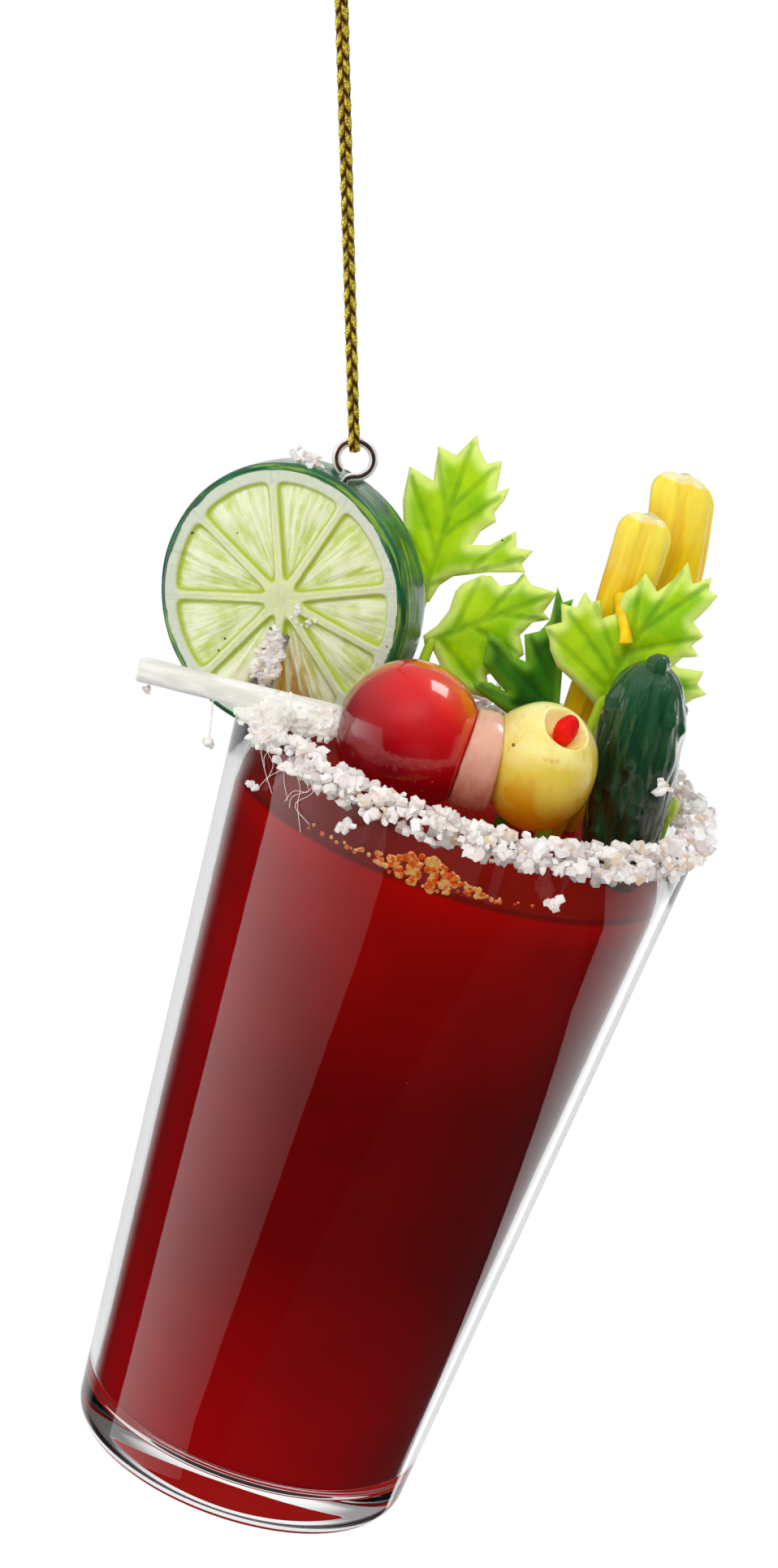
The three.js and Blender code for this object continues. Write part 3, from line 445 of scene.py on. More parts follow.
def celeryFlesh():
    look = Finish("celery_flesh", glassFrame, Specular_IOR_Level=0.3, Coat_Weight=0.12, Coat_Roughness=0.2)
    along = look.placeIn(glassFrame, (1, 1, 0.12))
    streaks = look.mottled(900, along, Detail=5)
    top = look.read("top")
    # painted light and shade: lighter near the top and darker low down; the groove is darker, partly its own
    # tint and partly painted shade; the cut end is pale
    base = look.layers((246, 212, 18), (streaks, (236, 184, 8)),
                       (look.ramp(top, 9, 1, 0, 0.65), (250, 238, 96)),
                       (look.ramp(top, 0.5, 0.08), (246, 236, 176)),
                       (look.read("groove"), 0.3, (226, 170, 30)),
                       (look.ramp(top, 17, 30, 0, 0.75), (206, 134, 16)),
                       (look.mottled(260, Low=0.55, High=0.75), 0.35, (244, 214, 110)))
    return look.done(base, (streaks, 0.3, 0.5), grain=(1600, 0.35, 0.0002), along=along,
                     soft=(0.25, (0.0018, 0.0012, 0.0003)))


def leafFinish(name, body, deep, margin, veinTone):
    look = Finish(name, glassFrame, Specular_IOR_Level=0.3, Coat_Weight=0.1, Coat_Roughness=0.25)
    clouds = look.mottled(240, Detail=5)
    veins = look.times(look.ramp(look.read("vein"), 0.5, 0.12), look.ramp(clouds, 0, 1, 0.35, 0.6))
    base = look.layers(body, (clouds, deep), (look.ramp(look.read("edge"), 1.6, 0, 0, 0.9), margin),
                       (veins, veinTone), (look.specks(300, 0.045), (40, 70, 10)))
    return look.done(base, (look.mottled(1300, Low=0.3, High=0.7), 0.32, 0.5), grain=(1500, 0.3, 0.0002),
                     soft=(0.25, (0.0008, 0.0012, 0.0002)))


def saltGrains():
    look = Finish("salt_grains", Transmission_Weight=0.38, IOR=1.5)
    tint = look.read("tint")
    cloud = look.mottled(900)
    # painted shade and light: greyer and pinker grains stand for shadows, and a faint painted glow lightens
    # them all
    base = look.layers((255, 254, 252), (look.ramp(tint, 0.6, 0.95), (250, 236, 228)),
                       (look.ramp(tint, 0.95, 0.99), (240, 216, 186)),
                       (look.ramp(tint, 0.3, 0.12), (232, 222, 220)))
    return look.done(look.layers(base, (cloud, 0.35, (255, 255, 255))), (cloud, 0.02, 0.12),
                     glow=(base, 0.03), shadow=(0.9, 0.88, 0.87, 1))


def clearGlue():
    look = Finish("clear_glue", Transmission_Weight=0.35, IOR=1.45)
    cloud = look.mottled(700, Detail=6)
    tone = look.blend(cloud, (255, 254, 250), (246, 242, 234))
    # a faint painted glow, though the glue is no lamp
    return look.done(tone, (cloud, 0.06, 0.25), grain=(1500, 0.5, 0.0004), glow=(tone, 0.08),
                     shadow=(0.8, 0.79, 0.77, 1))


finishes = dict(
    cord_gold=goldThread(), eye_steel=brightSteel(), lime_resin=limeResin(), clear_glass=clearGlass(),
    drink_red=redDrink(), froth_amber=amberFroth(), stick_white=whiteStick(), tomato_red=tomatoSkin(),
    onion_pink=onionFlesh(), olive_yellow=oliveSkin(), pimento_red=pimentoPaint(),
    gherkin_green=gherkinSkin(), celery_yellow=celeryFlesh(), salt_grains=saltGrains(),
    glue_clear=clearGlue(),
    leaf_pale=leafFinish("leaf_pale", (176, 214, 6), (136, 192, 4), (222, 238, 130), (98, 152, 8)),
    leaf_deep=leafFinish("leaf_deep", (52, 126, 18), (22, 84, 16), (116, 172, 36), (14, 60, 14)))
print("finishes made", len(finishes))


# Small tools for meshes
def move(bm, matrix):
    bmesh.ops.transform(bm, matrix=matrix, verts=bm.verts)


def faceOut(bm):
    bmesh.ops.recalc_face_normals(bm, faces=bm.faces)


def newLayer(bm, name):
    return bm.verts.layers.float.new(name)


def ripple(*spot):
    return noise.noise(Vector(spot))


def toMesh(bm, name):
    mesh = bpy.data.meshes.new(name)
    bm.to_mesh(mesh)
    bm.free()
    return mesh


def applied(piece):
    # the piece's mesh with its modifiers worked in
    mesh = bpy.data.meshes.new_from_object(piece.evaluated_get(bpy.context.evaluated_depsgraph_get()))
    piece.modifiers.clear()
    return mesh


def ball(bm, around, up, matrix=Matrix(), radius=1.0):
    made = bmesh.ops.create_uvsphere(bm, u_segments=around, v_segments=up, radius=radius, matrix=matrix)
    return made["verts"]


def soften(bm, verts, upright=True):
    bmesh.ops.smooth_vert(bm, verts=verts, factor=0.5, use_axis_x=True, use_axis_y=True, use_axis_z=upright)


def addPiece(name, bm, slot, nodes, body="ornament", place=None, smooth=True):
    move(bm, Matrix.Scale(mm, 4) @ (place or Matrix()))
    for face in bm.faces:
        face.smooth = smooth
    mesh = toMesh(bm, name)
    mesh.materials.append(finishes[slot])
    piece = addObject(name, mesh)
    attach(piece, body)
    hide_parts(*nodes)
    return piece


def smoothRoute(points, stepsEach):
    # a smooth curve through the points
    points = [Vector(point) for point in points]
    full = [2 * points[0] - points[1], *points, 2 * points[-1] - points[-2]]
    route = []
    for index in range(len(points) - 1):
        a, b, c, d = full[index:index + 4]
        for step in range(stepsEach):
            t = step / stepsEach
            route.append(0.5 * (2 * b + (c - a) * t + (2 * a - 5 * b + 4 * c - d) * t ** 2
                                + (3 * b - 3 * c + d - a) * t ** 3))
    route.append(points[-1])
    return route


def stationsAlong(route, sizes=None, side=(1, 0, 0)):
    # a frame at each point of a route, its z along the route
    side = Vector(side)
    stations = []
    for index, point in enumerate(route):
        ahead = route[min(index + 1, len(route) - 1)] - route[max(index - 1, 0)]
        forward = ahead.normalized()
        side = (side - side.dot(forward) * forward).normalized()
        across = forward.cross(side)
        size = sizes[index] if sizes else 1.0
        station = Matrix((side * size, across * size, forward * size)).transposed().to_4x4()
        station.translation = point
        stations.append(station)
    return stations


def sweep(bm, section, stations):
    # draws a closed section through the stations and closes both ends
    ring = [bm.verts.new(stations[0] @ Vector((x, y, 0))) for x, y in section]
    edges = [bm.edges.new((vert, ring[(index + 1) % len(ring)])) for index, vert in enumerate(ring)]
    first = edges
    for last, station in zip(stations, stations[1:]):
        made = bmesh.ops.extrude_edge_only(bm, edges=edges)["geom"]
        verts = [item for item in made if isinstance(item, bmesh.types.BMVert)]
        edges = [item for item in made if isinstance(item, bmesh.types.BMEdge) and item.is_boundary]
        bmesh.ops.transform(bm, matrix=station @ last.inverted(), verts=verts)
    caps = bmesh.ops.edgeloop_fill(bm, edges=first)["faces"]
    caps += bmesh.ops.edgeloop_fill(bm, edges=edges)["faces"]
    return caps


def roundSection(radius, sides, depth=None):
    angles = [2 * pi * side / sides for side in range(sides)]
    return [(radius * cos(angle), (depth or radius) * sin(angle)) for angle in angles]


def spinRound(bm, geom, steps):
    bmesh.ops.spin(bm, geom=geom, cent=(0, 0, 0), axis=(0, 0, 1), angle=2 * pi, steps=steps, use_merge=True)


def spun(profile, steps, closed=False):
    # turns a profile of radius and height around z
    bm = bmesh.new()
    points = [bm.verts.new((radius, 0, height)) for radius, height in profile]
    pairs = list(zip(points, points[1:]))
    if closed:
        pairs.append((points[-1], points[0]))
    edges = [bm.edges.new(pair) for pair in pairs]
    spinRound(bm, points + edges, steps)
    bmesh.ops.remove_doubles(bm, verts=bm.verts, dist=1e-4)
    faceOut(bm)
    return bm


def arc(centre, radius, start, end, steps):
    points = []
    for step in range(steps + 1):
        angle = radians(start + (end - start) * step / steps)
        points.append((centre[0] + radius * cos(angle), centre[1] + radius * sin(angle)))
    return points


def line(start, end, steps):
    # the points between two ends, ends left out
    return [(start[0] + (end[0] - start[0]) * step / steps, start[1] + (end[1] - start[1]) * step / steps)
            for step in range(1, steps)]


def ease(value, low, high):
    share = min(1.0, max(0.0, (value - low) / (high - low)))
    return share * share * (3 - 2 * share)


# Cord: two strands and the knot above
cord = dict(width=1.3, thickness=0.56, gap=0.25, spread=0.13, drop=54.5, top=-0.25, stitch=1.95,
            depth=0.3, stations=420)
strandGap = eye["wire"] / 2 + cord["gap"] + cord["thickness"] / 2


def strandRoute(side):
    high = [(side * cord["spread"], side * strandGap, cord["top"]),
            (side * cord["spread"] * 0.7, side * strandGap, -cord["drop"] * 0.3),
            (side * cord["spread"] * 0.3, side * strandGap, -cord["drop"] * 0.7),
            (0, side * strandGap, -cord["drop"] + 2)]
    bend = [(0, side * out, -cord["drop"] + up) for out, up in arc((0, 0), strandGap, 0, -78, 3)]
    bend.append((0, side * clearance / 2, -cord["drop"] - strandGap))
    return high + bend


def evenRoute(points, count):
    # the same route with its points evenly spaced
    route = smoothRoute(points, 24)
    lengths = [0.0]
    for a, b in zip(route, route[1:]):
        lengths.append(lengths[-1] + (b - a).length)
    even = []
    index = 0
    for step in range(count):
        goal = lengths[-1] * step / (count - 1)
        while index < len(route) - 2 and lengths[index + 1] < goal:
            index += 1
        share = (goal - lengths[index]) / (lengths[index + 1] - lengths[index])
        even.append(route[index].lerp(route[index + 1], share))
    return even, lengths[-1]


def knitRelief(across, along):
    # two columns of slanting stitches, 0 in the gaps and 1 on the loops
    column = along / cord["stitch"] + 0.42 * abs(across) + (0.5 if across < 0 else 0.0)
    loop = 0.5 + 0.5 * cos(2 * pi * column)
    middle = 1 - exp(-(across / 0.16) ** 2)
    return loop ** 0.7 * (0.25 + 0.75 * middle)


def makeStrand(name, node, side):
    route, length = evenRoute(strandRoute(side), cord["stations"])
    bm = bmesh.new()
    sweep(bm, roundSection(cord["width"] / 2, 28, cord["thickness"] / 2), stationsAlong(route))
    faceOut(bm)
    stitch = newLayer(bm, "stitch")
    middles = {}
    for point in route:
        middles[round(point.z, 1)] = point
    for vert in bm.verts:
        centre = middles.get(round(vert.co.z, 1)) or min(route, key=lambda point: (point - vert.co).length)
        across = (vert.co.x - centre.x) / (cord["width"] / 2)
        lift = knitRelief(across, vert.co.z)
        vert[stitch] = lift
        keep = 1 - cord["depth"] * (1 - lift)
        vert.co.x = centre.x + (vert.co.x - centre.x) * (1 - 0.16 * (1 - lift))
        vert.co.y = centre.y + (vert.co.y - centre.y) * keep
    piece = addPiece(name, bm, "cord_gold", [node], body="cord_loop")
    path = [tuple(point * mm) for point in reversed(route[::20] + [route[-1]])]
    return piece, path, length * mm


knot = dict(radius=1.15, cord=0.62, core=1.2, turns=((0, 0), (62, 30), (-62, -25)), endWidth=0.56,
            endDepth=0.36)


def makeKnot():
    bm = bmesh.new()
    stitch = newLayer(bm, "stitch")

    def knitted(start, pitch=lambda co: co.z, place=Matrix()):
        fresh = list(bm.verts)[start:]
        for vert in fresh:
            across = sin(3.1 * atan2(vert.co.y, vert.co.x))
            vert[stitch] = knitRelief(across, pitch(vert.co))
        bmesh.ops.transform(bm, matrix=place, verts=fresh)

    for tilt, spin in knot["turns"]:
        start = len(bm.verts)
        made = bmesh.ops.create_circle(bm, segments=18, radius=knot["cord"],
                                       matrix=shift(knot["radius"], 0, 0) @ turn(90, "X"))["verts"]
        edges = list({edge for vert in made for edge in vert.link_edges})
        spinRound(bm, made + edges, 60)
        bm.verts.ensure_lookup_table()
        for vert in list(bm.verts)[start:]:
            angle = atan2(vert.co.y, vert.co.x)
            middle = Vector((cos(angle), sin(angle), 0)) * knot["radius"]
            vert.co = middle + (vert.co - middle) * (0.93 + 0.07 * cos(9 * angle))
        knitted(start, lambda co: 1.1 * atan2(co.y, co.x), turn(spin, "Z") @ turn(tilt, "X"))
    start = len(bm.verts)
    ball(bm, 24, 16, stretch(1, 1, 1.25), knot["core"])
    knitted(start)
    for side in (-1, 1):
        start = len(bm.verts)
        ends = [(0, 0, 0.6), (side * 0.8, 0.1, 2.2), (side * 1.5, -0.1, 4.2), (side * 1.9, 0.2, 6.4)]
        route = smoothRoute(ends, 14)
        sizes = [1 + 0.08 * cos(2 * pi * point.z / 0.95) for point in route]
        sweep(bm, roundSection(knot["endWidth"], 20, knot["endDepth"]), stationsAlong(route, sizes))
        knitted(start)
    faceOut(bm)
    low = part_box("cord_knot")[0].z / mm - min(vert.co.z for vert in bm.verts)
    return addPiece("gold_knot", bm, "cord_gold", ["cord_knot"], body="hanger", place=shift(0, 0, low))


goldKnot = makeKnot()
for name, node, side in (("gold_strand_front", "cord_front", -1), ("gold_strand_back", "cord_back", 1)):
    piece, path, length = makeStrand(name, node, side)
print("cords made", round(length, 4))


# Screw eye
def makeEye():
    bm = bmesh.new()
    ring = eye["ring"]
    shank = [(0, -ring - eye["shank"]), (0, -ring - eye["shank"] / 2), (0, -ring - 0.9), (0.25, -ring - 0.2)]
    bent = shank + arc((0, 0), ring, eye["ringStart"], eye["ringEnd"], 24)
    route = smoothRoute([(x, 0, z) for x, z in bent], 3)
    sizes = [1.0] * len(route)
    sizes[0] = sizes[-1] = 0.86
    sweep(bm, roundSection(eye["wire"] / 2, 20), stationsAlong(route, sizes, (0, 1, 0)))
    faceOut(bm)
    return addPiece("wire_eye", bm, "eye_steel", ["screw_eye"], place=eyeFrame)


makeEye()
print("screw eye made")


# Glass and drink, with the axis along z and the rim at 0
def sideRadius(height, footRadius, rimRadius):
    return rimRadius + (footRadius - rimRadius) * -height / glass["height"]


wall = dict(rim=1.25, foot=1.15, gap=0.2, contact=0.04, hollow=0.85)
drink = dict(level=-7.2, meniscus=0.35, bend=1.3)


def boreAt(height, gap=0.0):
    # the glass is drawn as thin as it looks, less than the solid's wall
    return sideRadius(height, glass["footRadius"] - wall["foot"], glass["rimRadius"] - wall["rim"]) - gap


def makeGlass():
    corner = -glass["height"] + glass["footCorner"]
    cornerRadius = sideRadius(corner, glass["footRadius"], glass["rimRadius"]) - glass["footCorner"]
    floor = -glass["height"] + glass["base"]
    bend = glass["floorCorner"]
    floorRadius = boreAt(floor + bend) - bend
    lip = wall["rim"] / 2
    outside = line((cornerRadius + glass["footCorner"], corner), (glass["rimRadius"], -lip), 12)
    inside = line((boreAt(-lip), -lip), (floorRadius + bend, floor + bend), 12)
    hollow = [(cornerRadius * step / 24, -glass["height"] + wall["hollow"] * (1 - (step / 24) ** 2) ** 1.5)
              for step in range(24)]
    profile = [*hollow, (cornerRadius, -glass["height"]),
               *arc((cornerRadius, corner), glass["footCorner"], -90, 0, 20), *outside,
               *arc((glass["rimRadius"] - lip, -lip), lip, 0, 180, 16), *inside,
               *arc((floorRadius, floor + bend), bend, 0, -90, 14),
               *line((floorRadius, floor), (0, floor), 8), (0, floor)]
    return addPiece("tumbler", spun(profile, 160), "clear_glass", ["glass_tumbler"], place=glassFrame)


def makeDrink():
    low = -glass["height"] + glass["base"] - wall["contact"]
    bend = glass["floorCorner"]
    side = boreAt(low + bend, wall["gap"])
    edge = drink["level"] + drink["meniscus"]
    rim = boreAt(edge, wall["gap"])
    surface = [(rim - drink["bend"] * share, edge - drink["meniscus"] * ease(share, 0, 1))
               for share in [step / 12 for step in range(1, 13)]]
    inner = rim - drink["bend"]
    profile = [(0, low), *line((0, low), (side - bend, low), 6),
               *arc((side - bend, low + bend), bend, -90, 0, 12),
               *line((side, low + bend), (rim, edge), 16), (rim, edge), *surface,
               *line((inner, drink["level"]), (0, drink["level"]), 8), (0, drink["level"])]
    return addPiece("cast_drink", spun(profile, 160), "drink_red", ["drink_lining", "drink_top"],
                    place=glassFrame)


makeGlass()
makeDrink()
print("glass and drink made")


# Lime slice, in its own frame: x towards the glass axis, y away from the viewer
def wedgeReach(bearing, reach):
    # how far a place lies inside its segment, and which segment it is
    spokes = sorted(lime["spokes"])
    index = sum(1 for spoke in spokes if spoke <= bearing) - 1
    low = spokes[index]
    high = spokes[(index + 1) % len(spokes)]
    gaps = [radians((bearing - low) % 360), radians((high - bearing) % 360)]
    sides = [reach * sin(min(gap, pi / 2)) - lime["membrane"] for gap in gaps]
    sides += [lime["radius"] - lime["pith"] - reach, reach - 1.3]
    soft = 0.35
    return -soft * log(sum(exp(-side / soft) for side in sides)), index


def makeLime():
    half = lime["thickness"] / 2
    flat = lime["radius"] - lime["edge"]
    front = [(flat * step / 72, -half) for step in range(72)]
    edges = arc((flat, -half + lime["edge"]), lime["edge"], -90, 0, 6)
    edges += arc((flat, half - lime["edge"]), lime["edge"], 0, 90, 6)
    side = line(edges[6], edges[7], 8)
    back = [(radius, -height) for radius, height in reversed(front)]
    bm = spun(front + edges[:7] + side + edges[7:] + back, 300)
    bmesh.ops.rotate(bm, matrix=turn(-90, "X"), verts=bm.verts)
    for name in ("reach", "wedge", "bearing", "tone"):
        newLayer(bm, name)
    reachLayer, wedgeLayer, bearingLayer, toneLayer = bm.verts.layers.float.values()
    intoEye = eyeInLime.inverted()
    for vert in bm.verts:
        reach = hypot(vert.co.x, vert.co.z)
        bearing = degrees(atan2(vert.co.z, vert.co.x))
        inside, index = wedgeReach(bearing, reach)
        vert[reachLayer] = reach if abs(vert.co.y) > half - 0.02 else lime["radius"]
        vert[wedgeLayer] = inside
        vert[bearingLayer] = radians(bearing)
        vert[toneLayer] = 3.7 * index
        if abs(vert.co.y) > half - 0.02 and reach < flat:
            streak = ripple(radians(bearing) * 15, reach * 0.25, index * 5.0)
            depth = lime["recess"] * ease(inside, -0.05, 0.4)
            puff = 0.38 * ease(inside, 0.3, 2.6) + 0.09 * streak * ease(inside, 0.1, 0.8)
            swell = 0.07 * noise.noise(vert.co * 0.6)
            vert.co.y -= copysign(depth - puff + abs(swell), vert.co.y)
        else:
            groove = ripple(bearing * 0.045, vert.co.y * 2.6, 4.0)
            scale = 1 - 0.006 + 0.005 * groove
            vert.co.x *= scale
            vert.co.z *= scale
        spot = intoEye @ vert.co
        away = hypot(spot.x, spot.y)
        if away < lime["dimple"] + 0.25 and spot.z > -3.6:
            floor = -eye["ring"] - eye["wire"] / 2 - clearance - 1.0 * exp(-(away / 0.8) ** 2)
            sunk = Vector((spot.x, spot.y, min(spot.z, floor)))
            share = ease(away, lime["dimple"] + 0.25, lime["dimple"] - 0.25)
            vert.co = eyeInLime @ spot.lerp(sunk, share)
    piece = addPiece("lime_wheel", bm, "lime_resin", ["lime_slice"], place=limeFrame)
    slit = bmesh.new()
    low = -lime["radius"] - 1
    bmesh.ops.create_cube(slit, size=1, matrix=shift(lime["slitShift"], 0, (lime["slitTop"] + low) / 2)
                          @ stretch(lime["slitWidth"], lime["thickness"] + 2, lime["slitTop"] - low))
    deep = -22
    outer = sideRadius(deep, glass["footRadius"], glass["rimRadius"]) + clearance
    band = spun([(boreAt(deep, 1.0), deep), (outer, deep), (glass["rimRadius"] + clearance, -1),
                 (glass["rimRadius"] - 0.5, clearance), (boreRim + 0.5, clearance), (boreRim - clearance, -1)],
                96, closed=True)
    carve(piece, slit, limeFrame)
    carve(piece, band, glassFrame)
    return piece


def carve(piece, cutter, place):
    # cuts a closed mesh out of a piece for good
    move(cutter, Matrix.Scale(mm, 4) @ place)
    tool = addObject("cutter", toMesh(cutter, "cutter"))
    cut = piece.modifiers.new("cut", "BOOLEAN")
    cut.object = tool
    cut.operation = "DIFFERENCE"
    cut.solver = "EXACT"
    piece.data = applied(piece)
    bpy.data.objects.remove(tool)


makeLime()
print("lime made")


# Salt: a few faceted grains, repeated
def anyWay(chance):
    return Vector([chance.gauss(0, 1) for axis in range(3)]).normalized()


def grainShapes(count, seed):
    chance = random.Random(seed)
    shapes = []
    for kind in range(count):
        bm = bmesh.new()
        corners = []
        for x in (-1, 1):
            for y in (-1, 1):
                for z in (-1, 1):
                    spot = [side * chance.uniform(0.45, 1.0) for side in (x, y, z)]
                    height = spot[2] * chance.uniform(0.9, 1.5)
                    corners.append(bm.verts.new((spot[0] * 0.7, spot[1] * 0.64, height)))
        for extra in range(4):
            corners.append(bm.verts.new(anyWay(chance) * chance.uniform(0.9, 1.15)))
        made = bmesh.ops.convex_hull(bm, input=corners)
        loose = [item for item in made["geom_interior"] if isinstance(item, bmesh.types.BMVert)]
        bmesh.ops.delete(bm, geom=loose, context="VERTS")
        faceOut(bm)
        tint = newLayer(bm, "tint")
        tone = chance.random()
        for vert in bm.verts:
            vert[tint] = tone
        shapes.append(toMesh(bm, "grain"))
    return shapes


grains = grainShapes(16, 5)


def scatterGrains(bm, spots, chance):
    # spots are pairs of a centre and a size
    for centre, size in spots:
        copy = chance.choice(grains).copy()
        tilt, lean, spin = [turn(chance.uniform(0, 360), axis) for axis in "XYZ"]
        copy.transform(shift(*centre) @ tilt @ lean @ spin @ Matrix.Scale(size, 4))
        bm.from_mesh(copy)
        bpy.data.meshes.remove(copy)


crust = dict(lead=13.6, span=267.0, above=1.7, below=2.1, out=2.2, inwards=1.3, heap=0.55, heapTurn=15.0,
             grains=1750, small=0.27, large=0.72)
tomato = dict(radius=7.85, height=8.2, wobble=0.006, dimple=0.05, dimpleWidth=0.02)
glueBlobs = [
    ((crossingX - 1.67, -9.6, 0.9), (2.2, 2.4, 1.6)), ((crossingX + 0.93, -10.5, 1.9), (2.6, 2.5, 2.2)),
    ((crossingX + 4.33, -10.7, 2.0), (2.3, 2.2, 2.0)), ((crossingX + 6.53, -11.0, 2.5), (1.9, 1.9, 1.9)),
    ((crossingX + 0.5, -11.6, -0.6), (1.9, 1.7, 1.9)), ((crossingX + 1.8, -13.2, -0.1), (1.5, 1.3, 1.2))]


def makeCrust():
    chance = random.Random(11)
    start = degrees(atan2(stick["y"], crossingX)) + crust["lead"]
    intoStick = (glassFrame.inverted() @ stickFrame).inverted()
    spots = []
    while len(spots) < crust["grains"]:
        angle = radians(start + crust["span"] * chance.random())
        heap = 1 + crust["heap"] * max(0.0, cos(angle - radians(crust["heapTurn"])))
        around = chance.uniform(0, 2 * pi)
        share = chance.uniform(0.45, 0.98)
        outwards = cos(around)
        up = sin(around)
        reach = outwards * (crust["out"] if outwards > 0 else crust["inwards"]) * share
        height = up * (crust["above"] * heap if up > 0 else crust["below"]) * share
        ragged = 1 + 0.25 * ripple(angle * 9, height * 0.5, 2.0)
        radius = rimMiddle + reach * ragged
        centre = Vector((radius * cos(angle), radius * sin(angle), height * ragged))
        if (intoStick @ centre).length >= tomato["radius"] + 0.5:
            size = chance.uniform(crust["small"], crust["large"]) * (0.75 + 0.35 * share)
            spots.append((centre, size))
    for blob, radii in glueBlobs:
        for grain in range(30):
            away = anyWay(chance)
            centre = Vector(blob) + stretch(*radii) @ away
            if (intoStick @ centre).length > tomato["radius"] + 0.6 and away.y < 0.5:
                spots.append((centre, chance.uniform(0.24, 0.55)))
    bm = bmesh.new()
    scatterGrains(bm, spots, chance)
    return addPiece("rim_salt", bm, "salt_grains", ["salt_crust"], place=glassFrame, smooth=False)


def besideGlass(angle, height, reach):
    radius = sideRadius(height, glass["footRadius"], glass["rimRadius"]) + reach
    return Vector((radius * cos(radians(angle)), radius * sin(radians(angle)), height))


def heapOf(chance, centre, radius, count, small, large, flat=(1, 1, 1)):
    spots = []
    for grain in range(count):
        away = stretch(*flat) @ (anyWay(chance) * radius * chance.random() ** 0.5)
        spots.append((Vector(centre) + away, chance.uniform(small, large)))
    return spots


def makeLumps():
    chance = random.Random(23)
    besideGherkin = turn(-58, "Z") @ Vector((gherkin["radius"] + 1.3, 0, gherkin["length"] * 0.526))
    half = lime["thickness"] / 2
    lumps = [
        ("salt_left", "salt_lump_left", glassFrame, [(besideGlass(243.7, -3.2, 1.5), 1.0, 12, 0.3, 0.6)]),
        ("salt_right", "salt_lump_right", glassFrame, [(besideGlass(295, -4.5, 1.1), 0.85, 9, 0.3, 0.6)]),
        ("salt_grain_low", "salt_grain_left", glassFrame,
         [(besideGlass(213.3, -5.5, 0.9), 0.5, 5, 0.3, 0.5)]),
        ("salt_by_gherkin", "salt_on_gherkin", gherkinFrame, [(besideGherkin, 0.95, 9, 0.35, 0.65)]),
        ("salt_below_stick", "salt_under_stick", stickFrame,
         [((stickLeft + 1.45, 0, -stick["radius"] - 0.75), 0.45, 5, 0.2, 0.36)]),
        ("salt_lime_top", "salt_on_lime", limeFrame,
         [((-2.9, -1.2, lime["radius"] + 0.3), 1.5, 24, 0.22, 0.5, (1.5, 1.1, 0.5))]),
        ("salt_lime_middle", "salt_at_centre", limeFrame,
         [((3.2, -half - 0.1, -0.6), 1.4, 14, 0.16, 0.34, (1.2, 0.35, 1.0))]),
        ("salt_slit", "salt_in_slit", limeFrame,
         [((lime["slitShift"], -0.3, -5.7), 1.0, 150, 0.28, 0.55, (1.0, 3.1, 2.1)),
          ((lime["slitShift"] + 0.1, -half - 0.4, -6.9), 1.0, 150, 0.22, 0.5, (1.6, 0.8, 4.0))]),
    ]
    # every heap is drawn before the first grain is turned, so that the random order holds
    spotsOf = {name: [spot for heap in heaps for spot in heapOf(chance, *heap)]
               for name, node, place, heaps in lumps}
    for name, node, place, heaps in lumps:
        bm = bmesh.new()
        scatterGrains(bm, spotsOf[name], chance)
        addPiece(name, bm, "salt_grains", [node], place=place, smooth=False)


makeCrust()
makeLumps()
print("salt made")


# Cocktail stick and what is on it, in the stick's frame: x along the stick
alongX = turn(90, "Y")


def makeStick():
    radius = stick["radius"]
    bore = stick["bore"]
    left = stickLeft
    lip = (radius - bore) / 2
    profile = [(0, left + stick["boreDepth"]), (bore, left + stick["boreDepth"]), *line(
        (bore, left + stick["boreDepth"]), (bore, left + lip), 6),
        *arc((bore + lip, left + lip), lip, 180, 360, 10),
        *line((radius, left + lip), (radius, stick["right"] - 0.3), 60),
        (radius, stick["right"] - 0.3), (radius - 0.3, stick["right"]), (0, stick["right"])]
    bm = spun(profile, 48)
    for vert in bm.verts:
        waver = 1 + 0.03 * ripple(vert.co.x * 0.8, vert.co.y * 0.8, vert.co.z * 0.35)
        vert.co.x *= waver
        vert.co.y *= waver
    return addPiece("white_pick", bm, "stick_white", ["cocktail_stick"], place=stickFrame @ alongX)


def makeTomato():
    bm = bmesh.new()
    ball(bm, 96, 64, turn(90, "Y"))
    for vert in bm.verts:
        away = vert.co.normalized()
        wobble = 1 + tomato["wobble"] * noise.noise(away * 1.7)
        dimple = tomato["dimple"] * exp(-((1 - abs(away.x)) / tomato["dimpleWidth"]) ** 2)
        vert.co = Vector((away.x * tomato["radius"], away.y * tomato["radius"], away.z * tomato["height"]))
        vert.co *= wobble - dimple
    return addPiece("tomato", bm, "tomato_red", ["cherry_tomato"], place=stickFrame)


olive = dict(at=14.35, radius=6.15, height=6.7, depth=7.4, lift=0.5, recess=3.0, recessReach=7.3,
             aim=(0.28, -0.42, 0.86), pimento=(1.25, 1.1, 1.85), pimentoReach=5.75, pimentoTurn=15)
onion = dict(start=5.6, end=10.0, radius=5.4, drop=0.7, hole=2.6)


def oliveSurface(away):
    tall = olive["height"] if away.z > 0 else olive["depth"]
    return 1 / sqrt((away.x ** 2 + away.y ** 2) / olive["radius"] ** 2 + (away.z / tall) ** 2)


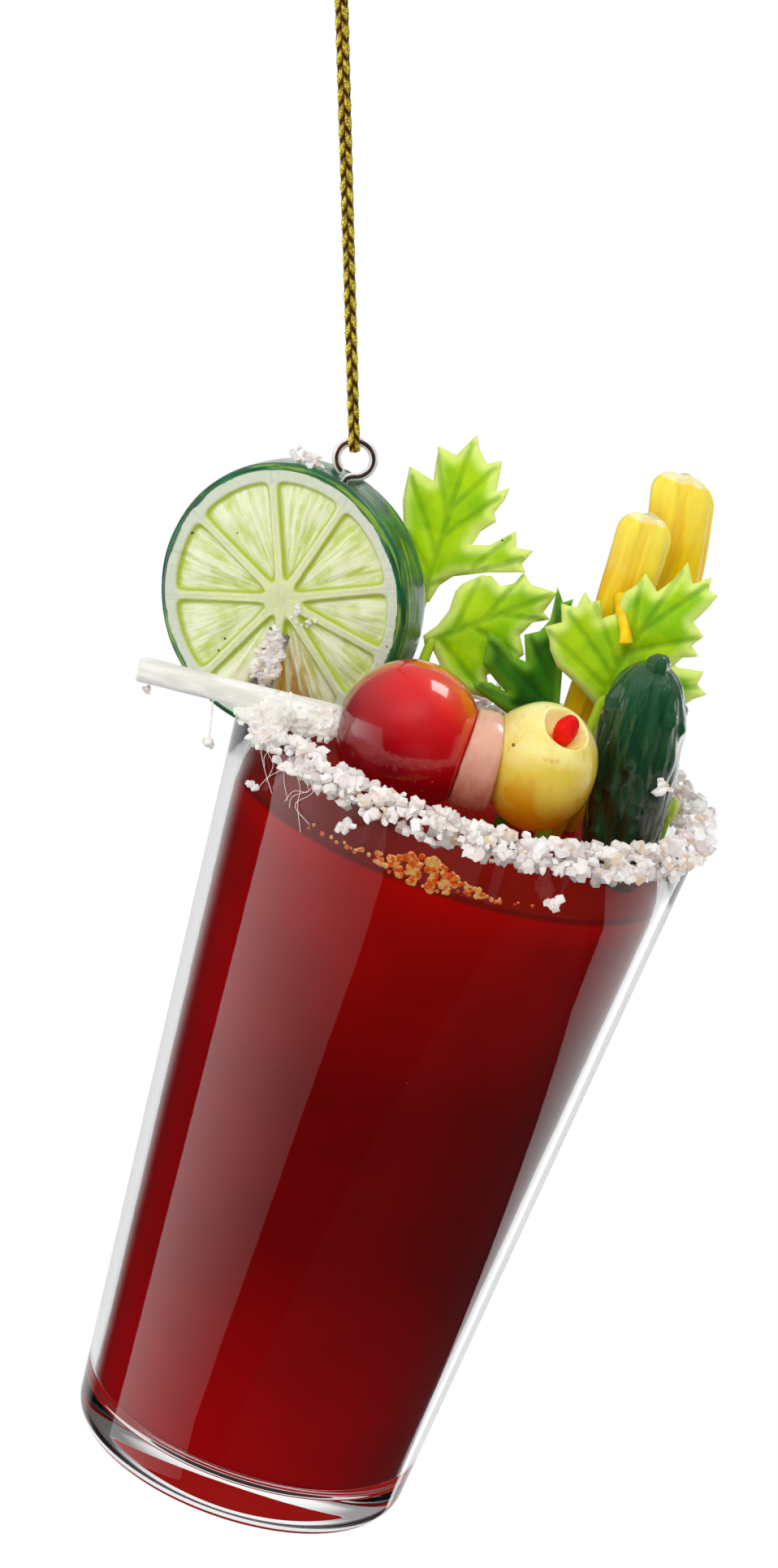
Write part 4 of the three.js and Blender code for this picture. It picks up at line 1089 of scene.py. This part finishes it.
def makeOlive():
    aim = Vector(olive["aim"]).normalized()
    angles = [step * 0.9 for step in range(34)] + [30.6 + step * 3.112 for step in range(49)]
    profile = [(sin(radians(a)), cos(radians(a))) for a in angles[:-1]]
    bm = spun([(0, 1), *profile[1:], (0, -1)], 96)
    lean = Vector((0, 0, 1)).rotation_difference(aim).to_matrix().to_4x4()
    move(bm, lean)
    for vert in bm.verts:
        away = vert.co.normalized()
        outer = oliveSurface(away) * (1 + 0.012 * ripple(away.x * 2.4, away.y * 2.4, away.z * 1.2))
        level = away.dot(aim)
        across = sqrt(max(0.0, 1 - level * level)) * olive["recessReach"]
        wobble = olive["recess"] * (1 + 0.05 * noise.noise(away * 4))
        if level > 0 and across < wobble:
            inner = olive["recessReach"] * level - sqrt(wobble ** 2 - across ** 2)
            outer = min(outer, inner) if inner > 0 else outer
        vert.co = away * outer
    soften(bm, bm.verts)
    return addPiece("stuffed_olive", bm, "olive_yellow", ["olive"],
                    place=stickFrame @ shift(olive["at"], 0, olive["lift"]))


def makePimento():
    aim = Vector(olive["aim"]).normalized()
    bm = bmesh.new()
    ball(bm, 32, 20, stretch(*olive["pimento"]))
    for vert in bm.verts:
        vert.co *= 1 + 0.06 * noise.noise(vert.co * 1.4)
    centre = aim * olive["pimentoReach"] + Vector((olive["at"], 0, olive["lift"]))
    place = stickFrame @ shift(*centre) @ turn(olive["pimentoTurn"], "Y")
    return addPiece("pimento_stuffing", bm, "pimento_red", ["pimento"], place=place)


def makeOnion():
    width = onion["radius"] - onion["hole"]
    left = [(onion["hole"] + width * step / 14, onion["start"]) for step in range(14)]
    right = [(radius, onion["end"]) for radius, along in reversed(left)]
    outer = arc((onion["radius"] - 0.5, onion["start"] + 0.5), 0.5, -90, 0, 5)
    outer += line((onion["radius"], onion["start"] + 0.5), (onion["radius"], onion["end"] - 0.5), 8)
    outer += arc((onion["radius"] - 0.5, onion["end"] - 0.5), 0.5, 0, 90, 5)
    bm = spun([point for point in left if point[0] < onion["radius"] - 0.5] + outer
              + [point for point in right if point[0] < onion["radius"] - 0.5], 96, closed=True)
    move(bm, shift(0, 0, -onion["drop"]) @ alongX)
    gap = 0.12
    for vert in bm.verts:
        crown = 0.22 * sin(pi * min(1.0, max(0.0, (vert.co.x - onion["start"])
                                                       / (onion["end"] - onion["start"]))))
        ring = hypot(vert.co.y, vert.co.z + onion["drop"])
        if ring > onion["radius"] - 0.6:
            scale = 1 + (crown - 0.12) / onion["radius"]
            vert.co.y *= scale
            vert.co.z = (vert.co.z + onion["drop"]) * scale - onion["drop"]
        off = hypot(vert.co.y, vert.co.z * tomato["radius"] / tomato["height"])
        low = sqrt(max(0.0, (tomato["radius"] + gap) ** 2 - off ** 2))
        offOlive = hypot(vert.co.y, (vert.co.z - olive["lift"]) * olive["radius"] / olive["height"])
        high = olive["at"] - sqrt(max(0.0, (olive["radius"] + gap) ** 2 - offOlive ** 2))
        vert.co.x = min(max(vert.co.x, low), high) if low < high else (low + high) / 2
    return addPiece("onion_ring", bm, "onion_pink", ["onion_slice"], place=stickFrame)


makeStick()
makeTomato()
makeOlive()
makePimento()
makeOnion()
print("stick and its garnish made")


# Gherkin, with its axis along z
def makeGherkin():
    shares = [(0, 0), (0.3, 0), (0.6, 0.0), (0.7, 0.04), (0.74, 0.074), (0.86, 0.221), (0.95, 0.368),
              (1, 0.515), (0.99, 0.662), (0.93, 0.79), (0.76, 0.893), (0.46, 0.952), (0.2, 0.968), (0, 0.971)]
    route = smoothRoute([(wide * gherkin["radius"], 0, high * gherkin["length"]) for wide, high in shares], 9)
    profile = [(max(point.x, 0), point.z) for point in route]
    profile[0] = (0, 0)
    profile[-1] = (0, profile[-1][1])
    bm = spun(profile, 120)
    chance = random.Random(7)
    warts = [(chance.uniform(-pi, pi), chance.uniform(2, 24), chance.uniform(0.5, 0.95))
             for wart in range(34)]
    for vert in bm.verts:
        angle = atan2(vert.co.y, vert.co.x)
        radius = hypot(vert.co.x, vert.co.y)
        height = vert.co.z
        lump = 1 + 0.045 * sin(5 * angle + 0.5 * height) * sin(0.62 * height)
        wrinkle = ripple(cos(angle) * 3.4, sin(angle) * 3.4, height * 0.13)
        fine = ripple(cos(angle) * 8, sin(angle) * 8, height * 0.35)
        lump += 0.1 * wrinkle + 0.05 * fine
        for wartAngle, wartHeight, size in warts:
            bend = (angle - wartAngle + pi) % (2 * pi) - pi
            away = hypot(bend * max(radius, 1.0), height - wartHeight) / size
            if away < 2:
                lump += 0.16 * size * exp(-away * away * 1.6)
        vert.co.x *= lump
        vert.co.y *= lump
    for vert in ball(bm, 28, 18, radius=gherkin["nub"]):
        angle = atan2(vert.co.y, vert.co.x)
        vert.co *= 1 + 0.1 * noise.noise(vert.co * 1.3)
        vert.co.x *= 1 + 0.06 * cos(6 * angle)
        vert.co.y *= 1 + 0.06 * cos(6 * angle)
        vert.co += Vector((0.3, -0.9, gherkin["length"] - gherkin["nub"] + 0.6))
    return addPiece("small_gherkin", bm, "gherkin_green", ["gherkin"], place=gherkinFrame)


makeGherkin()
print("gherkin made")


# Celery stalks: a ribbed crescent with its groove towards the viewer
stalks = {
    "celery_tall": dict(halfWidth=3.7, halfDepth=2.2, groove=0.9, top=34.6, taper=0.22,
                        route=[(11.0, 10.6, -8.2), (12.2, 10.8, 2), (14.1, 11, 13), (14.4, 11, 24),
                               (12.5, 11, 34.6)]),
    "celery_short": dict(halfWidth=3.1, halfDepth=1.8, groove=0.8, top=30.2, taper=0.2,
                         route=[(9.8, 6.7, -8.2), (10.3, 6.8, 1), (10.5, 7, 11), (10.2, 7, 21),
                                (9.9, 7, 30.2)]),
}


def makeStalk(node):
    size = stalks[node]
    section = []
    for step in range(81):
        angle = radians(-62 + 304 * step / 80)
        rib = 1 - 0.035 + 0.035 * cos(9 * angle)
        section.append((size["halfWidth"] * cos(angle) * rib, size["halfDepth"] * sin(angle) * rib))
    inner = [(-size["groove"], -size["halfDepth"] * 0.9), (-size["groove"] * 0.5, -size["halfDepth"] * 0.8),
             (size["groove"] * 0.5, -size["halfDepth"] * 0.8), (size["groove"], -size["halfDepth"] * 0.9)]
    path = [section[-1], *inner, section[0]]
    for a, b in zip(path, path[1:]):
        section += line(a, b, 4)
        if b is not path[-1]:
            section.append(b)
    low = size["route"][0][2]
    route = smoothRoute(size["route"], 16)
    stations = []
    for point in route:
        share = (point.z - low) / (size["top"] - low)
        taper = 1 - size["taper"] * (1 - share)
        soft = sqrt(1 - 0.6 * max(0.0, (point.z - size["top"] + 2.4) / 2.4) ** 2)
        stations.append(shift(*point) @ Matrix.Scale(taper * soft, 4))
    bm = bmesh.new()
    caps = sweep(bm, section, stations)
    faceOut(bm)
    bmesh.ops.inset_region(bm, faces=caps[1:], thickness=0.22, depth=0.16)
    if node == "celery_short":
        # a run of paint over the leaf in front
        run = smoothRoute([(9.8, 5.6, 21.2), (10.2, 3.2, 20.2), (11.1, 1.4, 18.8), (11.6, 0.9, 17.6)], 8)
        sizes = [1.0 - 0.3 * sin(pi * step / 24) for step in range(24)] + [0.6]
        sweep(bm, roundSection(0.85, 14), stationsAlong(run, sizes))
        faceOut(bm)
    topLayer = newLayer(bm, "top")
    grooveLayer = newLayer(bm, "groove")
    for vert in bm.verts:
        share = min(1.0, max(0.0, (vert.co.z - low) / (size["top"] - low)))
        centre = route[min(range(len(route)), key=lambda index: abs(route[index].z - vert.co.z))]
        x = vert.co.x - centre.x
        y = vert.co.y - centre.y
        vert[topLayer] = size["top"] - vert.co.z
        inGroove = abs(x) < size["groove"] * 1.05 and -size["halfDepth"] * 0.8 < y < 0.5
        vert[grooveLayer] = 1.0 if inGroove else 0.0
        swell = ripple(x * 0.5, y * 0.5, vert.co.z * 0.16)
        vert.co.x += 0.12 * swell
        vert.co.z += 0.5 * ripple(x * 0.7, y * 0.7, 3.0) * ease(share, 0.97, 1.0)
    return addPiece(node.replace("celery", "stalk"), bm, "celery_yellow", [node], place=glassFrame)


for node in stalks:
    makeStalk(node)
print("celery made")


# Leaves: a thin sheet inside its outline, creased along the midrib and curled, on a round stem
limeSide = (glassFrame.inverted() @ limeFrame @ Vector((lime["radius"], 0, 0))).x
bitAt = boreRim - 2.1
leafRelief = dict(grid=0.3, smallGrid=0.16, rim=0.16, body=0.24, groove=0.16, grooveWidth=0.28, pillow=0.14,
                  wave=0.3, flick=0.25)
leaves = {
    "leaf_top": dict(
        base=(limeSide - 0.11, 10.5, 12.9), yaw=-20, tilt=8, roll=5.0, crease=0.04, curl=-0.006,
        stemRadius=0.75,
        stem=[(limeSide - 0.11, 10.55, 13.7), (limeSide + 0.09, 10.2, 7), (limeSide + 0.99, 9.6, 0),
              (limeSide + 1.99, 8.9, -8.2)],
        outline=[(-0.2, -0.6), (-1.1, 0.7), (-2.5, 2.4), (-4.0, 4.4), (-4.3, 6.2), (-5.4, 9.4), (-5.9, 13.1),
                 (-4.1, 12.7), (-2.8, 12.4), (-3.6, 16.1), (-1.3, 15.8), (0.0, 18.5), (0.8, 17.2),
                 (2.2, 15.9), (3.7, 16.7), (4.3, 13.3), (5.6, 14.2), (5.5, 12.8), (4.9, 11.2), (5.4, 10.3),
                 (4.0, 8.8), (3.5, 7.1), (5.6, 7.7), (7.9, 10.0), (8.5, 8.3), (10.4, 8.6), (9.6, 6.8),
                 (10.3, 6.1), (6.2, 4.8), (2.5, 3.2), (1.3, 1.8), (0.7, -0.3)],
        veins=[[(0.2, 0), (0.0, 17.6)], [(0.1, 5.0), (-5.2, 12.2)], [(0.1, 9.0), (-3.2, 15.2)],
               [(0.0, 10.0), (3.4, 15.8)], [(0.1, 7.0), (4.9, 12.9)], [(0.3, 1.6), (9.6, 7.4)],
               [(4.6, 5.0), (7.6, 9.2)], [(0.1, 3.0), (-3.8, 6.4)]]),
    "leaf_mid": dict(
        base=(limeSide + 1.69, 6.6, 9.4), yaw=-6, tilt=14, roll=-49.2, crease=-0.08, curl=-0.002,
        stemRadius=0.75,
        stem=[(limeSide + 2.09, 6.7, 10.1), (limeSide + 1.99, 6.0, 6), (limeSide + 2.79, 5.4, 0),
              (limeSide + 3.59, 5.0, -8.2)],
        outline=[(-0.8, -0.2), (-1.3, 1.7), (-2.3, 3.4), (-4.0, 4.8), (-4.5, 5.8), (-4.6, 8.1), (-4.1, 9.1),
                 (-2.7, 9.6), (-2.5, 11.1), (-3.2, 12.5), (-1.7, 12.7), (0.2, 15.1), (1.6, 12.9), (2.6, 13.3),
                 (2.2, 11.4), (3.0, 9.6), (5.1, 9.3), (5.8, 6.9), (5.7, 4.7), (8.1, 3.8), (6.4, 1.6),
                 (3.7, 0.4), (0.8, 0.2), (0.1, -0.4)],
        veins=[[(0.0, 0), (0.1, 14.4)], [(0.0, 3.0), (-4.2, 7.6)], [(0.0, 6.5), (-2.9, 12.0)],
               [(0.0, 5.0), (4.8, 8.8)], [(0.1, 1.4), (7.2, 3.6)], [(0.0, 8.4), (2.3, 12.6)]]),
    "leaf_dark": dict(
        base=(5.0, 4.5, 3.4), yaw=4, tilt=8, roll=21.1, crease=0.06, curl=0.002, stemRadius=0.8,
        stem=[(6.2, 4.9, 7.2), (6.0, 4.6, 3), (5.6, 4.4, -3), (5.3, 4.3, -8.2)],
        outline=[(1.8, 0.2), (0.7, 1.9), (-2.2, 2.7), (-5.4, 5.6), (-5.6, 6.4), (-3.6, 6.1), (-2.0, 4.9),
                 (-3.1, 6.3), (-4.4, 8.3), (-3.9, 10.2), (-3.6, 11.8), (-2.1, 10.7), (-1.0, 8.8), (0.3, 8.1),
                 (0.3, 11.1), (2.0, 11.4), (3.2, 12.6), (4.2, 16.1), (4.7, 14.4), (5.8, 14.7), (5.0, 12.5),
                 (4.6, 10.4), (4.3, 7.7), (3.7, 3.3), (3.2, 1.0)],
        veins=[[(2.4, 0.4), (4.2, 15.2)], [(2.6, 3.2), (-3.4, 10.6)], [(2.4, 1.8), (-4.8, 5.9)],
               [(2.9, 6.0), (1.0, 10.8)], [(3.2, 8.6), (5.2, 14.0)]]),
    "leaf_right": dict(
        base=(11.1, 2.0, 9.9), yaw=-8, tilt=5, roll=-3.2, crease=0.05, curl=-0.002, stemRadius=0.8,
        stem=[(11.2, 2.05, 11.2), (11.0, 1.7, 6), (10.2, 1.4, -1), (9.6, 1.2, -8.2)],
        outline=[(-0.3, -0.3), (-2.0, 0.6), (-3.9, 1.4), (-5.8, 2.1), (-7.2, 3.5), (-7.7, 4.5), (-8.7, 5.6),
                 (-7.2, 6.8), (-8.0, 8.6), (-6.3, 8.9), (-6.2, 10.8), (-5.1, 10.0), (-4.3, 10.6), (-3.4, 8.8),
                 (-2.3, 9.8), (-2.2, 12.4), (-1.3, 13.7), (-0.9, 15.2), (1.0, 13.8), (2.0, 15.5), (2.8, 18.1),
                 (4.2, 16.1), (5.8, 17.6), (6.1, 16.2), (7.2, 16.0), (6.7, 14.3), (5.9, 12.4), (7.5, 11.4),
                 (6.7, 10.0), (7.8, 9.2), (6.3, 8.4), (5.7, 7.0), (9.0, 7.9), (8.9, 6.3), (10.2, 5.7),
                 (9.1, 4.7), (8.5, 3.8), (9.4, 2.1), (8.3, 2.8), (6.2, 3.2), (3.8, 2.8), (1.5, 0.8)],
        veins=[[(0.0, 0), (0.4, 6.0), (2.6, 17.0)], [(0.2, 3.6), (-6.8, 8.2)], [(0.2, 5.0), (-4.6, 10.0)],
               [(0.3, 2.0), (-8.0, 5.4)], [(0.6, 7.4), (-1.0, 14.2)], [(0.9, 9.0), (5.6, 16.6)],
               [(0.6, 6.6), (7.0, 11.2)], [(0.2, 2.6), (9.2, 6.2)], [(4.6, 4.3), (8.8, 3.0)]]),
    "leaf_bit": dict(
        base=(bitAt, 0, 0.3), yaw=10, tilt=10, roll=-7.4, crease=0.1, curl=0, stemRadius=0.4,
        stem=[(bitAt, 0, 1.0), (bitAt - 0.1, 0, -3), (bitAt - 0.4, 0, -8.2)],
        outline=[(-0.4, 0.0), (-1.0, 1.1), (-0.7, 1.8), (-0.4, 2.9), (0.5, 2.2), (0.7, 1.1), (0.4, -0.1)],
        veins=[[(0.0, 0.0), (-0.2, 2.4)]]),
}


def toSegment(point, start, end):
    along = end - start
    share = min(1.0, max(0.0, (point - start).dot(along) / along.length_squared))
    return start.lerp(end, share)


def gapTo(point, segments):
    return min((toSegment(point, a, b) - point).length for a, b in segments)


def insideOutline(point, outline):
    hits = 0
    for a, b in zip(outline, outline[1:] + outline[:1]):
        if (a.y > point.y) != (b.y > point.y):
            if point.x < a.x + (point.y - a.y) * (b.x - a.x) / (b.y - a.y):
                hits += 1
    return hits % 2 == 1


def makeLeaf(node):
    leaf = leaves[node]
    outline = [Vector(point) for point in leaf["outline"]]
    step = leafRelief["smallGrid" if node == "leaf_bit" else "grid"]
    lowX = min(point.x for point in outline) - step
    lowY = min(point.y for point in outline) - step
    wide = max(point.x for point in outline) + step - lowX
    tall = max(point.y for point in outline) + step - lowY
    bm = bmesh.new()
    bmesh.ops.create_grid(bm, x_segments=int(wide / step), y_segments=int(tall / step), size=0.5)
    move(bm, shift(lowX + wide / 2, lowY + tall / 2, 0) @ stretch(wide, tall, 1))
    outer = [face for face in bm.faces if not insideOutline(face.calc_center_median(), outline)]
    bmesh.ops.delete(bm, geom=outer, context="FACES")
    # the cut edge is drawn onto the outline, and its nearest points onto the tips
    sides = list(zip(outline, outline[1:] + outline[:1]))
    border = [vert for vert in bm.verts if vert.is_boundary]
    for vert in border:
        flat = vert.co.to_2d()
        nearest = min((toSegment(flat, a, b) for a, b in sides), key=lambda spot: (spot - flat).length)
        vert.co = nearest.to_3d()
    for tip in outline:
        vert = min(border, key=lambda item: (item.co.to_2d() - tip).length)
        vert.co = tip.to_3d()
    inner = [vert for vert in bm.verts if not vert.is_boundary]
    for repeat in range(3):
        soften(bm, inner, upright=False)
    veinLayer = newLayer(bm, "vein")
    edgeLayer = newLayer(bm, "edge")
    veins = [(Vector(a), Vector(b)) for path in leaf["veins"] for a, b in zip(path, path[1:])]
    for vert in bm.verts:
        flat = vert.co.to_2d()
        vert[edgeLayer] = 0.0 if vert.is_boundary else gapTo(flat, sides)
        vert[veinLayer] = gapTo(flat, veins)
    bottom = list(bm.faces)
    made = bmesh.ops.extrude_face_region(bm, geom=bottom, use_keep_orig=True)["geom"]
    top = {item for item in made if isinstance(item, bmesh.types.BMVert)}
    for vert in bm.verts:
        thick = leafRelief["rim"] + leafRelief["body"] * ease(vert[edgeLayer], 0.0, 0.8)
        groove = leafRelief["groove"] * exp(-(vert[veinLayer] / leafRelief["grooveWidth"]) ** 2)
        pillow = leafRelief["pillow"] * ease(vert[veinLayer], 0.1, 1.4) * ease(vert[edgeLayer], 0.0, 0.9)
        wave = leafRelief["wave"] * ripple(vert.co.x * 0.22, vert.co.y * 0.22, 7.0)
        flick = leafRelief["flick"] * ease(vert[edgeLayer], 0.7, 0.0)
        bend = leaf["crease"] * abs(vert.co.x) + leaf["curl"] * vert.co.y ** 2 + wave - flick
        vert.co.z = bend + (thick - groove + pillow if vert in top else -thick + groove * 0.4)
    faceOut(bm)
    move(bm, shift(*leaf["base"]) @ turn(leaf["yaw"], "Z") @ turn(90 - leaf["tilt"], "X")
         @ turn(leaf["roll"], "Z"))
    stem = bmesh.new()
    route = smoothRoute(leaf["stem"], 10)
    sizes = [0.7 + 0.3 * index / (len(route) - 1) for index in range(len(route))]
    sizes[0] = 0.3
    sweep(stem, roundSection(leaf["stemRadius"], 20), stationsAlong(route, sizes))
    faceOut(stem)
    ribs = newLayer(stem, "vein")
    rims = newLayer(stem, "edge")
    for vert in stem.verts:
        vert[ribs] = 1.0
        vert[rims] = 1.2
    joined = toMesh(stem, "stem")
    bm.from_mesh(joined)
    bpy.data.meshes.remove(joined)
    slot = "leaf_deep" if node == "leaf_dark" else "leaf_pale"
    return addPiece(node.replace("leaf", "blade"), bm, slot, [node], place=glassFrame)


for node in leaves:
    makeLeaf(node)
print("leaves made")


# Froth along the front of the drink's surface
froth = dict(middle=-96.0, low=0.13, high=0.6, count=190, spread=10.5, squash=0.7)


def makeFroth():
    chance = random.Random(31)
    bm = bmesh.new()
    for bubble in range(froth["count"]):
        along = chance.gauss(0, froth["spread"] * 0.45)
        near = exp(-(along / 4.0) ** 2)
        largest = froth["low"] + (froth["high"] - froth["low"]) * (0.35 + 0.65 * near)
        radius = chance.uniform(froth["low"], largest)
        height = drink["level"] + 0.9 + chance.uniform(-1.2, 2.4) * (0.2 + 0.8 * near)
        reach = boreAt(height) - radius * 0.5 - 0.1
        angle = radians(froth["middle"]) + along / reach
        place = shift(reach * cos(angle), reach * sin(angle), height)
        bmesh.ops.create_icosphere(bm, subdivisions=2, radius=radius,
                                   matrix=place @ turn(degrees(angle), "Z") @ stretch(froth["squash"], 1, 1))
    return addPiece("froth_bubbles", bm, "froth_amber", ["froth"], place=glassFrame)


makeFroth()
print("froth made")


# Glue that holds the stick, with fine hairs drawn out of it
glue = dict(voxel=0.2, wave=0.35, sink=0.25, hairs=9, hair=0.028, thread=0.09)


def makeGlue():
    bm = bmesh.new()
    for centre, radii in glueBlobs:
        ball(bm, 24, 16, shift(*centre) @ stretch(*radii))
    piece = addPiece("glue_blob", bm, "glue_clear", ["glue_mass"], place=glassFrame)
    skin = piece.modifiers.new("skin", "REMESH")
    skin.mode = "VOXEL"
    skin.voxel_size = glue["voxel"] * mm
    mesh = applied(piece)
    rough = bmesh.new()
    rough.from_mesh(mesh)
    soften(rough, rough.verts)
    rough.normal_update()
    moves = {}
    for vert in rough.verts:
        spot = vert.co / mm
        waver = noise.noise(spot * 0.9) + 0.5 * noise.noise(spot * 2.3)
        moves[vert] = vert.normal * (glue["wave"] * waver - glue["sink"]) * mm
    for vert, offset in moves.items():
        vert.co += offset
    for face in rough.faces:
        face.smooth = True
    rough.to_mesh(mesh)
    rough.free()
    mesh.materials.clear()
    mesh.materials.append(finishes["glue_clear"])
    piece.data = mesh
    return piece


def makeHairs():
    chance = random.Random(17)
    bm = bmesh.new()
    start = glassFrame.inverted() @ (stickFrame @ Vector((crossingX - stickX - 6.1, 0, -stick["radius"])))
    drop = [start, start + Vector((0.45, 0, -2.1)), start + Vector((1.0, 0, -4.6))]
    sweep(bm, roundSection(glue["thread"], 8), stationsAlong(smoothRoute(drop, 10)))
    for hair in range(glue["hairs"]):
        angle = chance.uniform(203, 228)
        height = chance.uniform(-0.5, 1.2)
        points = [besideGlass(angle, height, chance.uniform(0.3, 0.9))]
        for bend in range(3):
            angle += chance.uniform(-5, 6)
            height -= chance.uniform(0.8, 2.6)
            points.append(besideGlass(angle, height, chance.uniform(0.12, 0.5)))
        sweep(bm, roundSection(glue["hair"], 5), stationsAlong(smoothRoute(points, 6)))
    faceOut(bm)
    scatterGrains(bm, heapOf(chance, drop[-1], 0.3, 4, 0.35, 0.6), chance)
    return addPiece("glue_hairs", bm, "glue_clear", ["glue_thread"], place=glassFrame)


makeGlue()
makeHairs()
print("glue made")


# Floor, lamps and the white surroundings
white = (1, 1, 1, 1)
studio = dict(floorRadius=0.22, floorHeight=-0.30, floorGlow=0.22, floorMirrored=0.03, ambient=0.36,
              middle=-0.11, lampPower=4, low=(-0.05, 0.2, 0.015, 0.12), high=(0.2, 0.9, 0.0, 0.32),
              behind=(0.66, 0.86, 0.0, 0.8))
lamps = [
    dict(name="left_strip", toward=(-0.95, -0.31, -0.08), away=1.0, size=(1.25, 0.9), glow=1.0, mirrored=True,
         fade=(1.35, 0.35)),
    dict(name="right_panel", toward=(0.85, 0.36, -0.37), away=1.0, size=(1.5, 0.75), glow=0.95, mirrored=True,
         fade=(0.25, 1.4)),
    dict(name="upper_box", toward=(0.60, 0.14, 0.79), away=1.0, size=(0.34, 0.34), glow=4.4, mirrored=True),
    dict(name="front_fill", toward=(0.0, -0.75, 0.66), away=1.2, size=(1.0, 0.6), glow=3.6, mirrored=False),
    dict(name="side_fill", toward=(-0.6, -0.7, 0.35), away=1.2, size=(0.5, 0.8), glow=0.8, mirrored=False),
    dict(name="low_fill", toward=(0.1, -0.9, -0.35), away=1.2, size=(0.9, 0.6), glow=1.2, mirrored=False),
    dict(name="back_fill", toward=(0.2, 0.85, 0.5), away=1.2, size=(0.9, 0.6), glow=2.0, mirrored=False),
]


def makeLamp(lamp):
    data = bpy.data.lights.new(lamp["name"], "AREA")
    data.shape = "RECTANGLE"
    data.size, data.size_y = lamp["size"]
    data.energy = studio["lampPower"] * lamp["glow"] * lamp["size"][0] * lamp["size"][1]
    item = addObject(lamp["name"], data)
    toward = Vector(lamp["toward"]).normalized()
    item.location = Vector((0, 0, studio["middle"])) + toward * lamp["away"]
    item.rotation_mode = "QUATERNION"
    item.rotation_quaternion = toward.to_track_quat("Z", "Y")
    item.visible_camera = False
    item.visible_glossy = lamp["mirrored"]
    item.visible_transmission = False
    if "fade" in lamp:
        # its light falls off towards one side
        data.use_nodes = True
        nodes = Nodes(data.node_tree)
        across = nodes.add("SeparateXYZ", {"Vector": nodes.add("NewGeometry").outputs["Parametric"]})
        fade = nodes.ramp(across.outputs["X"], 0, 1, *lamp["fade"])
        nodes.fill(nodes.tree.nodes["Emission"], {"Strength": fade})


def seenDirectly(nodes):
    # the ray's kinds, and 1 for what the camera sees, also through glass
    rays = nodes.add("LightPath").outputs
    return rays, nodes.calc("MAXIMUM", rays["Is Camera Ray"], rays["Is Transmission Ray"])


def makeFloor():
    bm = bmesh.new()
    bmesh.ops.create_circle(bm, cap_ends=True, segments=96, radius=studio["floorRadius"])
    move(bm, shift(0, 0, studio["floorHeight"]))
    floor = addObject("pale_floor", toMesh(bm, "pale_floor"))
    look = Finish("pale_floor", Base_Color=(0.84, 0.84, 0.84, 1), Roughness=0.9)
    rays, seen = seenDirectly(look)
    glow = look.add("Emission", {"Color": white, "Strength": look.times(seen, studio["floorGlow"])})
    both = look.add("AddShader", {0: look.solid.outputs[0], 1: glow.outputs[0]})
    # shiny faces mirror a dim floor
    dim = look.add("Emission", {"Color": white, "Strength": studio["floorMirrored"]})
    bounced = look.calc("GREATER_THAN", rays["Glossy Depth"], 0.5)
    look.showAs(look.mixShader(bounced, both.outputs[0], dim.outputs[0]))
    floor.data.materials.append(look.material)


def makeWorld():
    world = bpy.data.worlds.new("white_studio")
    scene.world = world
    world.use_nodes = True
    world.node_tree.nodes.clear()
    nodes = Nodes(world.node_tree)
    rays, seen = seenDirectly(nodes)
    way = nodes.add("SeparateXYZ", {"Vector": nodes.add("TexCoord").outputs["Generated"]}).outputs
    above = nodes.plus(nodes.ramp(way["Z"], *studio["low"]), nodes.ramp(way["Z"], *studio["high"]))
    strength = nodes.plus(nodes.ramp(way["Y"], *studio["behind"]), above)
    mirrored, bright, soft = [nodes.add("Background", {"Color": white, "Strength": glow}).outputs[0]
                              for glow in (strength, 1, studio["ambient"])]
    bounced = nodes.times(nodes.calc("GREATER_THAN", rays["Glossy Depth"], 0.5),
                          nodes.calc("SUBTRACT", 1, rays["Is Diffuse Ray"]))
    shown = nodes.mixShader(bounced, nodes.mixShader(seen, soft, bright), mirrored)
    nodes.add("OutputWorld", {"Surface": shown})


for lamp in lamps:
    makeLamp(lamp)
makeFloor()
makeWorld()
scene.view_settings.view_transform = "Standard"
scene.cycles.caustics_refractive = False
scene.cycles.caustics_reflective = False
scene.cycles.transparent_max_bounces = 24
scene.cycles.transmission_bounces = 16
scene.cycles.max_bounces = 18
print("studio made")
